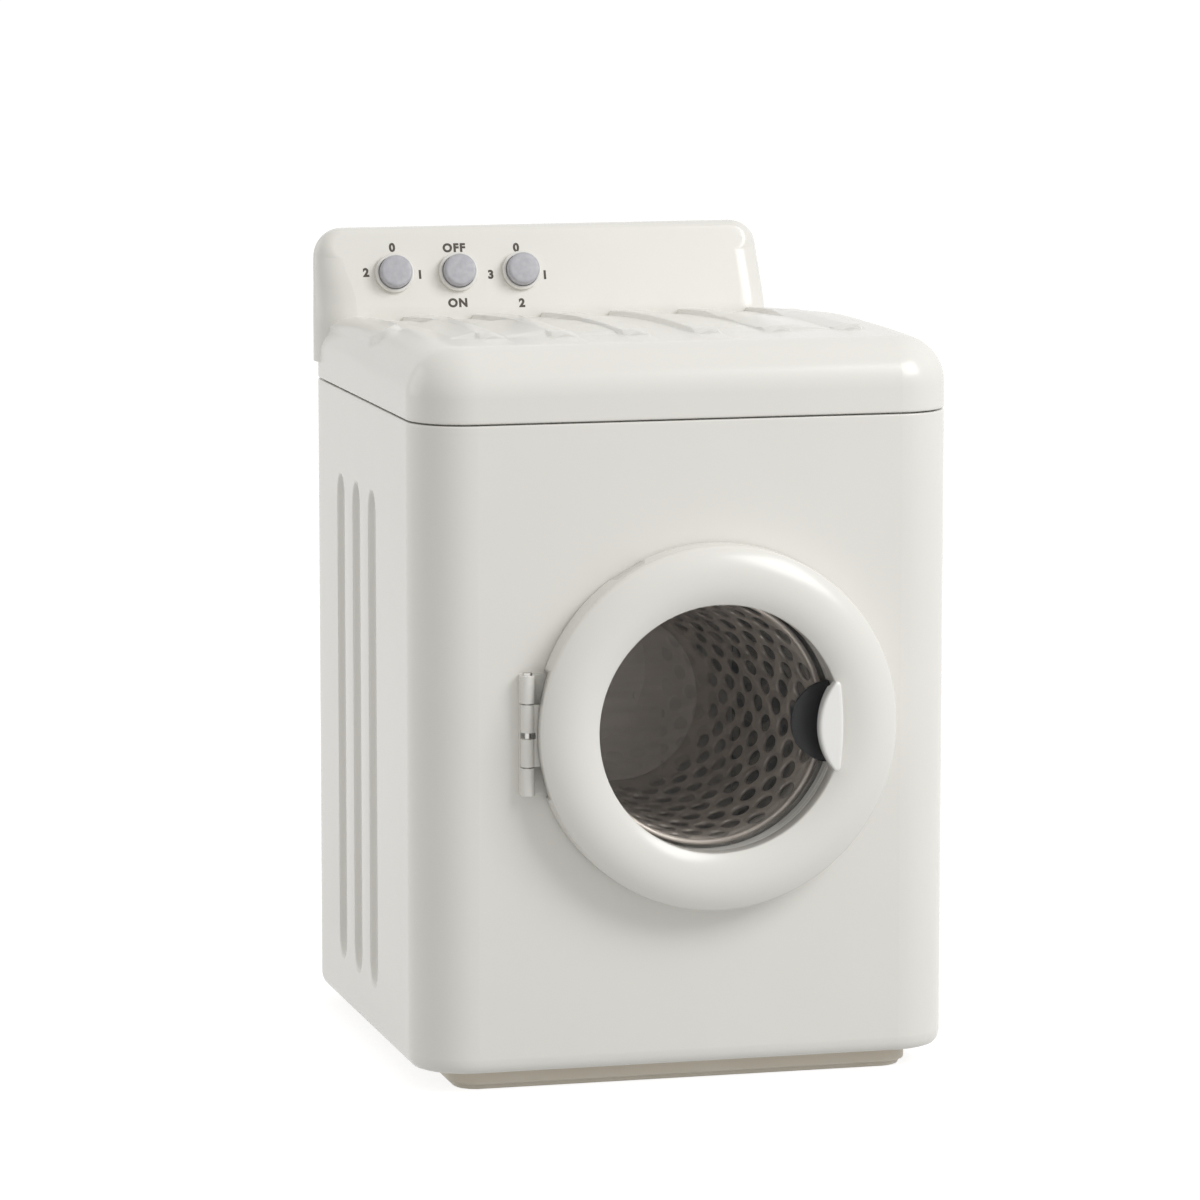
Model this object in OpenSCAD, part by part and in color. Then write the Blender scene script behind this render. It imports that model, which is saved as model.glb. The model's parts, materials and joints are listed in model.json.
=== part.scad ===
// Toy washing machine at one sixth of full size: a moulded cabinet on a plinth,
// a lid with raised ribs, a leaning console with three knobs, a hinged porthole
// door and a perforated drum that turns on a spindle.
// Millimetres, +Z up. The origin is the middle of the footprint on the floor.
// Modules are drawn from the cabinet's front face (y = 0) and its middle (x = 0),
// and place() moves them to the origin.

/* [Cabinet] */
// Width of the cabinet
cabinet_w = 104; // [98:1:116]
// Depth of the cabinet from its front face to its back wall
cabinet_d = 99; // [97:1:112]
// Height of the seam between cabinet and lid
seam_z = 126; // [120:1:136]
// Radius of the upright corners
corner_r = 11; // [9.5:0.5:13]
// Thickness of the cabinet's walls
wall = 1.6; // [1.4:0.1:2]
// Height of the plinth under the cabinet
plinth_h = 4; // [3:0.5:6]
// How far the plinth stands in from the cabinet's sides
plinth_side_in = 7.2; // [6:0.2:9]
// How far the plinth stands in from the front face and the back
plinth_front_in = 4.5; // [3:0.5:7]
// Thickness of the floor pan inside the cabinet
pan_t = 1.6; // [1.2:0.1:2.4]
// Thickness of the cover on the back
back_cover_t = 1; // [0.8:0.1:1.6]

/* [Grooves in the sides] */
// Number of grooves in each side
groove_count = 3; // [1:1:4]
// Width of a groove
groove_w = 6; // [4:0.5:8]
// Depth of a groove
groove_depth = 0.8; // [0.4:0.1:1]
// Distance from groove to groove
groove_pitch = 13.9; // [10:0.1:16]
// Depth position of the middle groove
groove_mid_y = 54.5; // [48:0.5:58]
// Height of the lower end of the grooves
groove_low = 13.6; // [12:0.2:30]
// Distance from the upper ends of the grooves to the seam
groove_top_in = 17; // [14:1:40]

/* [Lid] */
// Height of the lid's crown above the seam
lid_h = 14; // [12:0.5:20]
// Radius of the lid's upper edges
lid_edge_r = 9; // [7:0.5:10]
// Radius of the crown that lets the top fall away to the back
crown_r = 700; // [500:10:1500]
// Depth position where the crown is highest
crown_y = 25; // [15:1:40]
// Number of raised ribs
rib_count = 7; // [4:1:7]
// Width of a rib
rib_w = 5.6; // [4:0.2:7]
// Height of a rib
rib_h = 0.8; // [0.4:0.1:1.2]
// Distance from rib to rib
rib_pitch = 14; // [12:0.1:14.4]
// Middle of the row of ribs, from the cabinet's middle
rib_mid_x = -5.4; // [-7:0.2:0]
// Front end of the ribs
rib_front = 18.5; // [14:0.5:30]

/* [Console] */
// Left end of the console, from the cabinet's left side outwards
ear_t = 0.9; // [0.7:0.1:1.2]
// How far the ear laps the lid's left side, from the lid's crown down
ear_drop = 10.6; // [8:0.1:11]
// Right end of the console, from the cabinet's right side inwards
console_right_in = 12.9; // [8:0.1:18]
// Lean of the console's right end inwards, in degrees
console_end_lean = 5; // [0:0.5:8]
// Height of the console above the lid's crown
console_h = 15.5; // [13:0.5:20]
// Depth of the console from its face at the lid to the cabinet's back
console_d = 15.8; // [14.5:0.1:19]
// Lean of the console's face from upright, in degrees
console_lean = 18; // [8:1:20]
// Wall of the console
console_wall = 1.4; // [1.2:0.1:1.6]
// Radius of the console's upper corners
console_corner_r = 5.8; // [4:0.2:6.4]
// Radius of the console's upright front edges
console_edge_r = 6; // [3:0.5:7]
// Radius of the console's upper back edge
console_back_r = 8; // [4:0.5:9]

/* [Knobs] */
// Middle of the left knob, from the console's left end
knob_in = 15.5; // [14:0.1:18]
// Distance from knob to knob
knob_pitch = 12.9; // [10:0.1:15]
// Height of the knobs above the lid's crown
knob_up = 6.6; // [6:0.1:8]
// Radius of a knob's cap
knob_r = 3.2; // [2.6:0.1:3.6]
// How far a cap stands out from the console's face
knob_out = 3.2; // [2.4:0.1:4]
// Width of the ring round a cap
bezel_w = 0.6; // [0.4:0.05:1]
// How far the ring stands out from the console's face
bezel_out = 1.2; // [0.8:0.1:1.6]
// Radius of a knob's stem
stem_r = 1.3; // [1:0.1:1.6]

/* [Door] */
// Middle of the door, from the cabinet's middle
door_x = 3.9; // [0:0.1:6]
// Height of the door's middle
door_z = 68.6; // [62:0.1:74]
// Outer radius of the door's ring
ring_r = 34.4; // [33.6:0.1:35.6]
// Radius of the opening that shows the glass
aperture_r = 23.4; // [22.6:0.1:23.8]
// How far the crown of the ring stands out from the front face
ring_out = 8.4; // [7.6:0.1:9]
// Radius of the ring's rounded front
ring_round = 8.7; // [8.2:0.1:11]
// Gap between the ring and the front face
door_gap = 0.4; // [0.3:0.05:0.6]
// Thickness of the glass
glass_t = 1.2; // [0.8:0.1:1.6]
// Length of the handle
handle_len = 17; // [12:0.5:19]
// How far the handle stands out from the front face
handle_out = 9.2; // [8.8:0.1:10]

/* [Hinge] */
// Radius of the knuckles
knuckle_r = 1.35; // [1.2:0.05:1.5]
// Radius of the hinge pin
pin_r = 0.6; // [0.4:0.05:0.7]
// Gap between the knuckles and the ring's side
knuckle_gap = 0.15; // [0.1:0.05:0.4]
// Height of the hinge from its lowest to its highest knuckle
hinge_h = 22.6; // [20:0.2:24]

/* [Drum] */
// Radius of the drum at its mouth
drum_front_r = 23.6; // [22.6:0.1:24]
// Radius of the drum at its back
drum_back_r = 17.5; // [15:0.1:20]
// Room behind the drum for its bearing, up to the cabinet's back
drum_room = 33; // [31:1:44]
// Thickness of the drum's sheet
drum_t = 0.6; // [0.4:0.1:0.8]
// Fall of the drum's axis to the back, in degrees
drum_tilt = 5; // [0:0.5:6]
// Depth position of the middle of the drum's mouth
drum_y = 6.2; // [6:0.1:8]
// Number of rows of holes round the drum
hole_rows = 36; // [20:2:40]
// Radius of a hole
hole_r = 1.9; // [1:0.1:2]
// Distance from hole to hole along a row
hole_pitch = 9.4; // [8:0.1:12]
// Radius of the spindle
spindle_r = 2; // [1.5:0.1:2.4]

/* [Fits] */
// Gap between two pieces that are seated together
seat_gap = 0.1; // [0.05:0.05:0.2]
// Gap round a shaft that turns
turn_gap = 0.05; // [0.03:0.01:0.08]
// Gap of the seam between cabinet and lid
seam_gap = 0.3; // [0.2:0.05:0.5]
// Radius of a screw's shank
screw_r = 1; // [0.8:0.05:1.1]
// Radius of a small screw's shank
small_screw_r = 0.5; // [0.4:0.05:0.6]

/* [Hidden] */
$fn = 64;

cream = [0.93, 0.925, 0.9];
shade_cream = [0.8, 0.78, 0.74];
knob_grey = [0.62, 0.62, 0.66];
steel = [0.62, 0.6, 0.57];
dark = [0.08, 0.08, 0.09];
clear = [0.8, 0.88, 0.9, 0.4];

screw_head_h = 0.6;
small_head_h = 0.4;
screw_hold = 5;
small_screw_hold = 2.5;
over = 1;
lid_top = seam_z + lid_h;
groove_high = seam_z - groove_top_in;
drum_len = cabinet_d - drum_room;
floor_z = plinth_h + pan_t;
back_in_y = cabinet_d - wall;
shift_x = ear_t / 2;
shift_y = (handle_out - cabinet_d - back_cover_t - screw_head_h) / 2;

corner_x = cabinet_w / 2 - corner_r;
corner_ys = [corner_r, cabinet_d - corner_r];
tab_r = corner_r - wall / 2;
tab_t = 2;
lip_drop = 3;
rib_above = 2;
lid_seat_z = seam_z - lip_drop - seat_gap;
base_screw_in = 2.5;

back_opening_w = 72;
back_opening_low = 20;
back_opening_top_in = 18;
back_opening_high = seam_z - back_opening_top_in;
back_screw_side = 3.4;
back_screw_beyond = 5;
back_screw_x = back_opening_w / 2 + back_screw_side;
back_screw_zs = [back_opening_low - back_screw_beyond, back_opening_high + back_screw_beyond];
boss_r = 2.6;
boss_len = 5;

console_left = -cabinet_w / 2 - ear_t;
console_right = cabinet_w / 2 - console_right_in;
console_front = cabinet_d - console_d;
console_top = lid_top + console_h;
ear_low = lid_top - ear_drop;
lean_shift = console_h * tan(console_lean);
knob_x = console_left + knob_in;
knob_z = lid_top + knob_up;
knob_clip_r = 2 * stem_r;
clip_clear = 0.5;
console_screw_in = 6;
console_screw_right_in = 8;
console_back_right_in = 14;
console_back_down = 0.6;
console_boss_down = 6;
console_boss_up = 7;
console_pad_h = 0.8;
console_screw_y = cabinet_d - console_screw_in;
console_screw_xs = [
    knob_x - knob_clip_r - clip_clear - boss_r / 2, console_right - console_screw_right_in
];
console_back_xs = [knob_x + knob_pitch / 2, console_right - console_back_right_in];
console_back_z = console_top - console_back_r - boss_r - console_back_down;
console_boss_low = lid_top - console_boss_down;
console_boss_high = lid_top + console_boss_up;
console_rib_len = console_d - console_screw_in + over;
lid_back_z = lid_top - wall - crown_r + sqrt(pow(crown_r, 2) - pow(console_screw_y - crown_y, 2));
console_pad_z = lid_back_z - console_pad_h;
knob_edge = 0.5;
stem_in = 2;
knob_clip_t = 0.6;

collar_wall = 1.3;
collar_in = 0.6;
collar_r = aperture_r + collar_in;
opening_r = collar_r + collar_wall + seat_gap;
collar_flange_w = 3;
collar_flange_r = opening_r + collar_flange_w;
collar_flange_t = 0.8;

glass_lap = 2.2;
glass_r = aperture_r + glass_lap;
glass_front = 3.4;
glass_back = glass_front - glass_t;
retainer_lap = 2.8;
retainer_in = 0.3;
retainer_r = glass_r + retainer_lap;
retainer_t = 1.4;
retainer_screw_r = retainer_r - retainer_lap / 2;
retainer_screw_turn = [45, 135, 225, 315];
crown_in = 0.5;
crown_at = (ring_r + aperture_r) / 2 - crown_in;

handle_lap = 1;
handle_x = door_x + aperture_r - handle_lap;
handle_bulge = 4;
handle_back_bulge = 1;
handle_plate_t = 2.3;
handle_post_in = 1.2;
handle_post_short = 3;
backing_t = 1;
backing_bulge = 7.5;
backing_short = 1.5;
handle_screw_z = 4.5;
handle_screw_in = 0.5;

hinge_drop = 0.4;
hinge_x = door_x - ring_r - knuckle_r - knuckle_gap;
hinge_out = knuckle_r + door_gap;
hinge_low = door_z - hinge_h / 2 - hinge_drop;
knuckle_split = 0.2;
pin_show = 1.2;
pin_head_h = 0.5;
leaf_t = 0.6;
leaf_clear = 0.6;
leaf_screw_in = 1.6;
knuckle_h = (hinge_h - pin_show - 2 * knuckle_split) / 4;
leaf_inner = door_x - retainer_r - leaf_clear;
pocket_up = 0.8;
pocket_end = 0.5;
pocket_side = 0.2;
pocket_out = glass_front - pocket_up;
pocket_inner = leaf_inner + pocket_side;
leaf_screw_x = leaf_inner - leaf_screw_in;

bush_wall = 1.5;
bush_len = 9;
bush_flange_t = 1;
bush_clear = 6;
bush_start = drum_len + bush_clear;
spindle_end = 3;
spindle_len = bush_clear + bush_len + bush_flange_t + spindle_end;
hub_r = 6.5;
hub_t = 1.2;
rivet_in = 1.8;
rivet_at = hub_r - rivet_in;
drum_plate_t = 0.8;
spindle_clip_t = 0.6;
hole_margin = hole_pitch / 2;
holes_along = floor((drum_len - 1.6 * hole_margin) / hole_pitch);
pedestal_wall = 2;
pedestal_t = 2;
pedestal_w = 28;
pedestal_foot = 8;
pedestal_foot_t = 1.6;
pedestal_screw_x = pedestal_w / 3;
pedestal_s = bush_start + bush_flange_t + bush_len / 2;
pedestal_y = drum_y + pedestal_s * cos(drum_tilt);
pedestal_z = door_z - pedestal_s * sin(drum_tilt);
pedestal_screw_y = pedestal_y - pedestal_t / 2 - pedestal_foot / 2;

catch_clear = 0.8;
magnet_r = (ring_r - retainer_r) / 2 - catch_clear;
magnet_t = 2;
strike_t = 1.2;
catch_x = door_x + (ring_r + retainer_r) / 2;

// Moves a piece drawn from the cabinet's front face and middle to the origin.
module place() {
    translate([shift_x, shift_y, 0]) children();
}

// Flat outline with round corners, its front edge on y = 0.
module outline(w, d, r) {
    translate([-w / 2 + r, 0]) square([w - 2 * r, d]);
    translate([-w / 2, r]) square([w, d - 2 * r]);
    for (x = [-w / 2 + r, w / 2 - r], y = [r, d - r])
        translate([x, y]) circle(r);
}

// The cabinet's outline, drawn in by a distance, as a block between two heights.
module block(inset, low, high) {
    translate([0, inset, low])
        linear_extrude(high - low)
            outline(cabinet_w - 2 * inset, cabinet_d - 2 * inset, corner_r - inset);
}

// Cylinder whose axis runs from front to back, from depth y to y + len.
module along_y(x, y, z, r, len) {
    translate([x, y, z]) rotate([-90, 0, 0]) cylinder(r = r, h = len);
}

// A slot with round ends, from one point to another, as tall as h.
module slot(len, w, h) {
    translate([-w / 2, w / 2, 0]) cube([w, len - w, h]);
    for (y = [w / 2, len - w / 2])
        translate([0, y, 0]) cylinder(r = w / 2, h = h);
}

// Screw with its head's underside at the origin and its shank along +Z.
module screw(r, head_r, head_h, len) {
    translate([0, 0, -head_h]) cylinder(r = head_r, h = head_h);
    translate([0, 0, -over / 10]) cylinder(r = r, h = len + over / 10);
}

// Children at the four corners of the cabinet, moved out from the corner's centre.
module at_corners(out) {
    for (side = [-1, 1], end = [0, 1])
        translate([side * (corner_x - out), corner_ys[end] + (end == 0 ? out : -out), 0])
            children();
}

// ---- cabinet ----

module side_grooves() {
    length = groove_high - groove_low;
    first_y = groove_mid_y - (groove_count - 1) / 2 * groove_pitch;
    for (side = [-1, 1], i = [0:groove_count - 1])
        translate([side * cabinet_w / 2, first_y + i * groove_pitch, groove_low])
            rotate([90, 0, 90])
                translate([0, 0, -groove_depth])
                    slot(length, groove_w, 2 * groove_depth);
}

module cabinet_shell() {
    color(cream) place() difference() {
        union() {
            difference() {
                block(0, plinth_h, seam_z - seam_gap / 2);
                block(wall, plinth_h - over, seam_z + over);
            }
            for (x = [-corner_x, corner_x], y = corner_ys) {
                translate([x, y, floor_z + seat_gap]) cylinder(r = tab_r, h = tab_t);
                translate([x, y, lid_seat_z - tab_t]) cylinder(r = tab_r, h = tab_t);
            }
            for (x = [-back_screw_x, back_screw_x], z = back_screw_zs)
                along_y(x, back_in_y - boss_len, z, boss_r, boss_len + wall / 2);
        }
        side_grooves();
        along_y(door_x, -over, door_z, opening_r, wall + 2 * over);
        translate([-back_opening_w / 2, back_in_y - over, back_opening_low])
            cube([back_opening_w, wall + 2 * over, back_opening_high - back_opening_low]);
        for (x = [-back_screw_x, back_screw_x], z = back_screw_zs)
            along_y(x, back_in_y - boss_len - over, z, screw_r + turn_gap, boss_len + wall + 2 * over);
        at_corners(0)
            translate([0, 0, lid_seat_z - tab_t - over])
                cylinder(r = screw_r + turn_gap, h = tab_t + 2 * over);
        at_corners(base_screw_in)
            translate([0, 0, floor_z])
                cylinder(r = screw_r + turn_gap, h = tab_t + 2 * over);
        for (z = leaf_screw_zs(true))
            along_y(leaf_screw_x, -over, z, small_screw_r + turn_gap, wall + 2 * over);
    }
}

module base_pan() {
    color(shade_cream) place() difference() {
        block(wall + seat_gap, plinth_h, floor_z);
        at_corners(base_screw_in)
            translate([0, 0, plinth_h - over])
                cylinder(r = screw_r + turn_gap, h = pan_t + 2 * over);
        pedestal_screw_spots()
            translate([0, 0, plinth_h - over]) cylinder(r = screw_r + turn_gap, h = pan_t + 2 * over);
    }
}

module plinth() {
    w = cabinet_w - 2 * plinth_side_in;
    d = cabinet_d - 2 * plinth_front_in;
    edge = plinth_h / 4;
    color(shade_cream) place() difference() {
        translate([0, plinth_front_in, 0]) {
            translate([0, edge, 0])
                linear_extrude(plinth_h)
                    outline(w - 2 * edge, d - 2 * edge, corner_r / 2 - edge);
            translate([0, 0, edge])
                linear_extrude(plinth_h - edge) outline(w, d, corner_r / 2);
        }
        at_corners(base_screw_in) {
            translate([0, 0, -over]) cylinder(r = screw_r + turn_gap, h = plinth_h + 2 * over);
            translate([0, 0, -over]) cylinder(r = 2 * screw_r + seat_gap, h = plinth_h / 2 + over);
        }
        pedestal_screw_spots()
            translate([0, 0, -over]) cylinder(r = 2 * screw_r + seat_gap, h = plinth_h + 2 * over);
    }
}

module base_screws() {
    reach = plinth_h / 2 + pan_t + seat_gap + tab_t;
    color(steel) place() at_corners(base_screw_in)
        translate([0, 0, plinth_h / 2]) screw(screw_r, 2 * screw_r, screw_head_h, reach);
}

module back_cover() {
    inset = 3;
    low = back_screw_zs[0] - inset;
    high = back_screw_zs[1] + inset;
    half = back_screw_x + inset;
    color(cream) place() difference() {
        translate([0, cabinet_d, low])
            rotate([90, 0, 0]) mirror([0, 0, 1])
                linear_extrude(back_cover_t) outline(2 * half, high - low, inset);
        for (x = [-back_screw_x, back_screw_x], z = back_screw_zs)
            along_y(x, cabinet_d - over, z, screw_r + turn_gap, back_cover_t + 2 * over);
    }
}

module back_cover_screws() {
    reach = back_cover_t + wall + boss_len - over;
    color(steel) place()
        for (x = [-back_screw_x, back_screw_x], z = back_screw_zs)
            translate([x, cabinet_d + back_cover_t, z])
                rotate([90, 0, 0]) screw(screw_r, 2 * screw_r, screw_head_h, reach);
}

// ---- lid ----

// The lid's rounded block: its plan, its front view and its side view cut to one
// shape, with its two front corners turned from the same rounded edge. grow swells
// it outwards, and shrinks it when it is negative.
module lid_form(grow, low) {
    w = cabinet_w + 2 * grow;
    top = lid_top + grow;
    r = lid_edge_r + grow;
    plan_r = corner_r + grow;
    intersection() {
        union() {
            intersection() {
                translate([0, 0, low]) linear_extrude(top - low) {
                    translate([-corner_x, -grow]) square([2 * corner_x, cabinet_d + 2 * grow]);
                    translate([-w / 2, corner_r]) square([w, corner_ys[1] - corner_r]);
                    for (x = [-corner_x, corner_x])
                        translate([x, corner_ys[1]]) circle(plan_r);
                }
                translate([0, cabinet_d + grow + over, low])
                    rotate([90, 0, 0]) linear_extrude(cabinet_d + 2 * (grow + over)) {
                        translate([-w / 2, 0]) square([w, top - r - low]);
                        translate([-w / 2 + r, 0]) square([w - 2 * r, top - low]);
                        for (x = [-w / 2 + r, w / 2 - r])
                            translate([x, top - r - low]) circle(r);
                    }
                translate([-w / 2 - over, -grow, 0])
                    rotate([90, 0, 90]) linear_extrude(w + 2 * over) {
                        translate([0, low]) square([cabinet_d + 2 * grow, top - r - low]);
                        translate([r, low]) square([cabinet_d + 2 * grow - r, top - low]);
                        translate([r, top - r]) circle(r);
                    }
            }
            for (side = [-1, 1])
                translate([side * corner_x, corner_r, low])
                    rotate([0, 0, side < 0 ? 180 : 270]) rotate_extrude(angle = 90) {
                        square([plan_r, top - r - low]);
                        square([plan_r - r, top - low]);
                        translate([plan_r - r, top - r - low]) intersection() {
                            circle(r);
                            square(r);
                        }
                    }
        }
        translate([-w / 2 - over, crown_y, top - crown_r])
            rotate([0, 90, 0]) cylinder(r = crown_r, h = w + 2 * over, $fn = 256);
    }
}

module lid_ribs() {
    first_x = rib_mid_x - (rib_count - 1) / 2 * rib_pitch;
    intersection() {
        lid_form(rib_h, seam_z + rib_above);
        for (i = [0:rib_count - 1])
            translate([first_x + i * rib_pitch, rib_front, seam_z + 2 * wall])
                slot(cabinet_d - rib_front - wall, rib_w, lid_top);
    }
}

module top_lid() {
    lip_top = seam_z + lip_drop;
    color(cream) place() difference() {
        union() {
            difference() {
                union() {
                    lid_form(0, seam_z + seam_gap / 2);
                    lid_ribs();
                }
                lid_form(-wall, seam_z - over);
            }
            difference() {
                block(wall + seat_gap, seam_z - lip_drop, lip_top);
                block(wall + seat_gap + wall, seam_z - lip_drop - over, lip_top + over);
            }
            difference() {
                block(wall / 2, seam_z + seam_gap, lip_top);
                block(wall + seat_gap + wall, seam_z - over, lip_top + over);
            }
            intersection() {
                lid_form(-wall / 2, lid_seat_z - over);
                union() {
                    at_corners(0)
                        translate([0, 0, lid_seat_z]) cylinder(r = boss_r, h = lid_top - lid_seat_z);
                    console_screw_spots()
                        translate([0, 0, console_pad_z]) cylinder(r = boss_r, h = lid_top - console_pad_z);
                }
            }
        }
        at_corners(0)
            translate([0, 0, lid_seat_z - over])
                cylinder(r = screw_r + turn_gap, h = screw_hold + 2 * over);
        console_screw_spots()
            translate([0, 0, seam_z]) cylinder(r = screw_r + turn_gap, h = lid_top);
    }
}

module lid_screws() {
    color(steel) place() at_corners(0)
        translate([0, 0, lid_seat_z - tab_t]) screw(screw_r, 2 * screw_r, screw_head_h, tab_t + screw_hold);
}

// ---- console ----

// Depth position of the console's face at a height.
function face_y(z) = console_front + (z - lid_top) * tan(console_lean);

// The console's block: its front view, its side view and its plan cut to one
// shape, its left end wrapped round the lid's corner. inset draws its ends, top and
// front in, to hollow it, and leaves it open behind.
module console_form(inset) {
    left = console_left + inset;
    right = console_right - inset;
    top = console_top - inset;
    r = console_corner_r - inset;
    front = console_front + inset;
    edge = console_edge_r - inset;
    back_r = console_back_r - inset;
    wrap_r = corner_r + ear_t - inset;
    beyond = inset > 0 ? over : 0;
    end_x = right - (r + (console_h - console_corner_r) * sin(console_end_lean)) / cos(console_end_lean);
    intersection() {
        translate([0, cabinet_d + over, 0])
            rotate([90, 0, 0]) linear_extrude(cabinet_d + over) intersection() {
                union() {
                    translate([left, ear_low]) square([right - left, top - r - ear_low]);
                    translate([left + r, ear_low]) square([end_x - left - r, top - ear_low]);
                    for (x = [left + r, end_x])
                        translate([x, top - r]) circle(r);
                }
                translate([right, lid_top]) rotate(console_end_lean)
                    translate([-2 * cabinet_w, -lid_top]) square([2 * cabinet_w, 2 * lid_top]);
            }
        translate([left - over, 0, 0])
            rotate([90, 0, 90]) linear_extrude(right - left + 2 * over) {
                polygon([
                    [front, ear_low - over], [front, lid_top],
                    [front + lean_shift, console_top], [cabinet_d - console_back_r, console_top],
                    [cabinet_d - console_back_r, ear_low - over]
                ]);
                translate([cabinet_d - console_back_r - over, ear_low - over])
                    square([console_back_r + over + beyond, console_top - console_back_r - ear_low + over]);
                translate([cabinet_d - console_back_r, console_top - console_back_r]) intersection() {
                    circle(back_r);
                    square(back_r);
                }
            }
        translate([(left + right) / 2, front, ear_low - over])
            linear_extrude(console_top - ear_low + 2 * over) {
                translate([-(right - left) / 2, edge])
                    square([right - left, cabinet_d - front + over - edge]);
                translate([-(right - left) / 2 + edge, 0])
                    square([right - left - 2 * edge, cabinet_d - front + over]);
                for (side = [-1, 1])
                    translate([side * ((right - left) / 2 - edge), edge]) circle(edge);
            }
        translate([0, 0, ear_low - over])
            linear_extrude(console_top - ear_low + 2 * over) {
                translate([-corner_x, 0]) square([corner_x + right, cabinet_d + beyond]);
                translate([left, 0]) square([-corner_x - left, corner_ys[1]]);
                intersection() {
                    translate([-corner_x, corner_ys[1]]) circle(wrap_r);
                    square([2 * cabinet_w, 2 * cabinet_d], center = true);
                }
            }
    }
}

// Children at the two places where screws come up through the lid.
module console_screw_spots() {
    for (x = console_screw_xs)
        translate([x, console_screw_y, 0]) children();
}

// Children on the two screws of the console's back, +Z to the back.
module console_back_spots(y) {
    for (x = console_back_xs)
        translate([x, y, console_back_z]) rotate([-90, 0, 0]) children();
}

// Children on the axis of a knob: the origin on the console's face, +Z outwards.
module on_face(i) {
    translate([knob_x + i * knob_pitch, face_y(knob_z), knob_z])
        rotate([90 - console_lean, 0, 0]) children();
}

module console_shell() {
    inner_y = face_y(knob_z) + console_wall;
    boss_h = console_boss_high - console_boss_low;
    color(cream) place() difference() {
        union() {
            difference() {
                console_form(0);
                console_form(console_wall);
            }
            console_screw_spots()
                translate([0, 0, console_boss_low]) cylinder(r = boss_r, h = boss_h);
            intersection() {
                console_form(console_wall / 2);
                console_back_spots(inner_y - over)
                    cylinder(r = boss_r, h = cabinet_d - wall - seat_gap - inner_y + over);
            }
            intersection() {
                console_form(console_wall / 2);
                console_screw_spots()
                    translate([-boss_r / 2, -console_rib_len, console_boss_low])
                        cube([boss_r, console_rib_len, boss_h]);
            }
        }
        lid_clearance();
        console_screw_spots()
            translate([0, 0, console_boss_low - 2 * over])
                cylinder(r = screw_r + turn_gap, h = boss_h + over);
        console_back_spots(cabinet_d - wall - screw_hold - over)
            cylinder(r = screw_r + turn_gap, h = 2 * screw_hold);
        for (i = [0:2])
            on_face(i) translate([0, 0, -3 * console_wall])
                cylinder(r = stem_r + turn_gap, h = 6 * console_wall);
    }
}

// The room that the lid takes up under the console.
module lid_clearance() {
    lid_form(seat_gap, seam_z - over);
    intersection() {
        lid_form(rib_h + seat_gap, seam_z + rib_above);
        translate([-cabinet_w / 2 + wall, 0, seam_z]) cube([cabinet_w - 2 * wall, cabinet_d, lid_top]);
    }
}

module console_back() {
    color(cream) place() difference() {
        intersection() {
            console_form(console_wall + seat_gap);
            translate([-corner_x + seat_gap, cabinet_d - wall, 0])
                cube([2 * cabinet_w, wall, console_top]);
        }
        lid_clearance();
        console_back_spots(cabinet_d - wall - over)
            cylinder(r = screw_r + turn_gap, h = wall + 2 * over);
    }
}

module console_back_screws() {
    color(steel) place() console_back_spots(cabinet_d)
        rotate([180, 0, 0]) screw(screw_r, 2 * screw_r, screw_head_h, wall + screw_hold);
}

module console_screws() {
    color(steel) place() console_screw_spots()
        translate([0, 0, console_pad_z])
            screw(screw_r, 2 * screw_r, screw_head_h, console_boss_high - 3 * over - console_pad_z);
}

// ---- knobs ----

module bezel(i) {
    color(cream) place() on_face(i) difference() {
        cylinder(r = knob_r + seat_gap + bezel_w, h = bezel_out);
        translate([0, 0, -over]) cylinder(r = knob_r + seat_gap, h = bezel_out + 2 * over);
    }
}

module knob(i) {
    flat_r = knob_r - knob_edge;
    side_h = knob_out - knob_edge;
    inside = console_wall + stem_in;
    color(knob_grey) place() on_face(i) {
        rotate_extrude() {
            translate([0, seat_gap]) square([knob_r, side_h - seat_gap]);
            translate([0, side_h - seat_gap]) square([flat_r, knob_edge + seat_gap]);
            translate([flat_r, side_h]) intersection() {
                circle(knob_edge);
                square(knob_edge);
            }
        }
        translate([0, 0, -inside]) cylinder(r = stem_r, h = inside + over);
    }
}

module knob_clip(i) {
    color(steel) place() on_face(i)
        translate([0, 0, -console_wall * cos(console_lean) - seat_gap - knob_clip_t]) difference() {
            cylinder(r = knob_clip_r, h = knob_clip_t);
            translate([0, 0, -over]) cylinder(r = stem_r, h = knob_clip_t + 2 * over);
        }
}

// ---- door ----

// Children drawn on the door's axis: the origin on the front face, +Z outwards.
module on_door() {
    translate([door_x, 0, door_z]) rotate([90, 0, 0]) children();
}

// Lens of two arcs on the chord x = 0, bulging to -X and to +X.
module lens(len, left, right, h) {
    half = len / 2;
    left_r = (half * half + left * left) / (2 * left);
    right_r = (half * half + right * right) / (2 * right);
    linear_extrude(h) intersection() {
        translate([left_r - left, 0]) circle(left_r);
        translate([right - right_r, 0]) circle(right_r, $fn = 128);
    }
}

module opening_collar() {
    color(cream) place() difference() {
        union() {
            along_y(door_x, seat_gap, door_z, collar_r + collar_wall, wall + collar_flange_t - seat_gap);
            along_y(door_x, wall, door_z, collar_flange_r, collar_flange_t);
        }
        along_y(door_x, -over, door_z, collar_r, wall + 2 * over + collar_flange_t);
    }
}

module retainer_spots() {
    for (turn = retainer_screw_turn)
        rotate([0, 0, turn]) translate([retainer_screw_r, 0, 0]) children();
}

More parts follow.
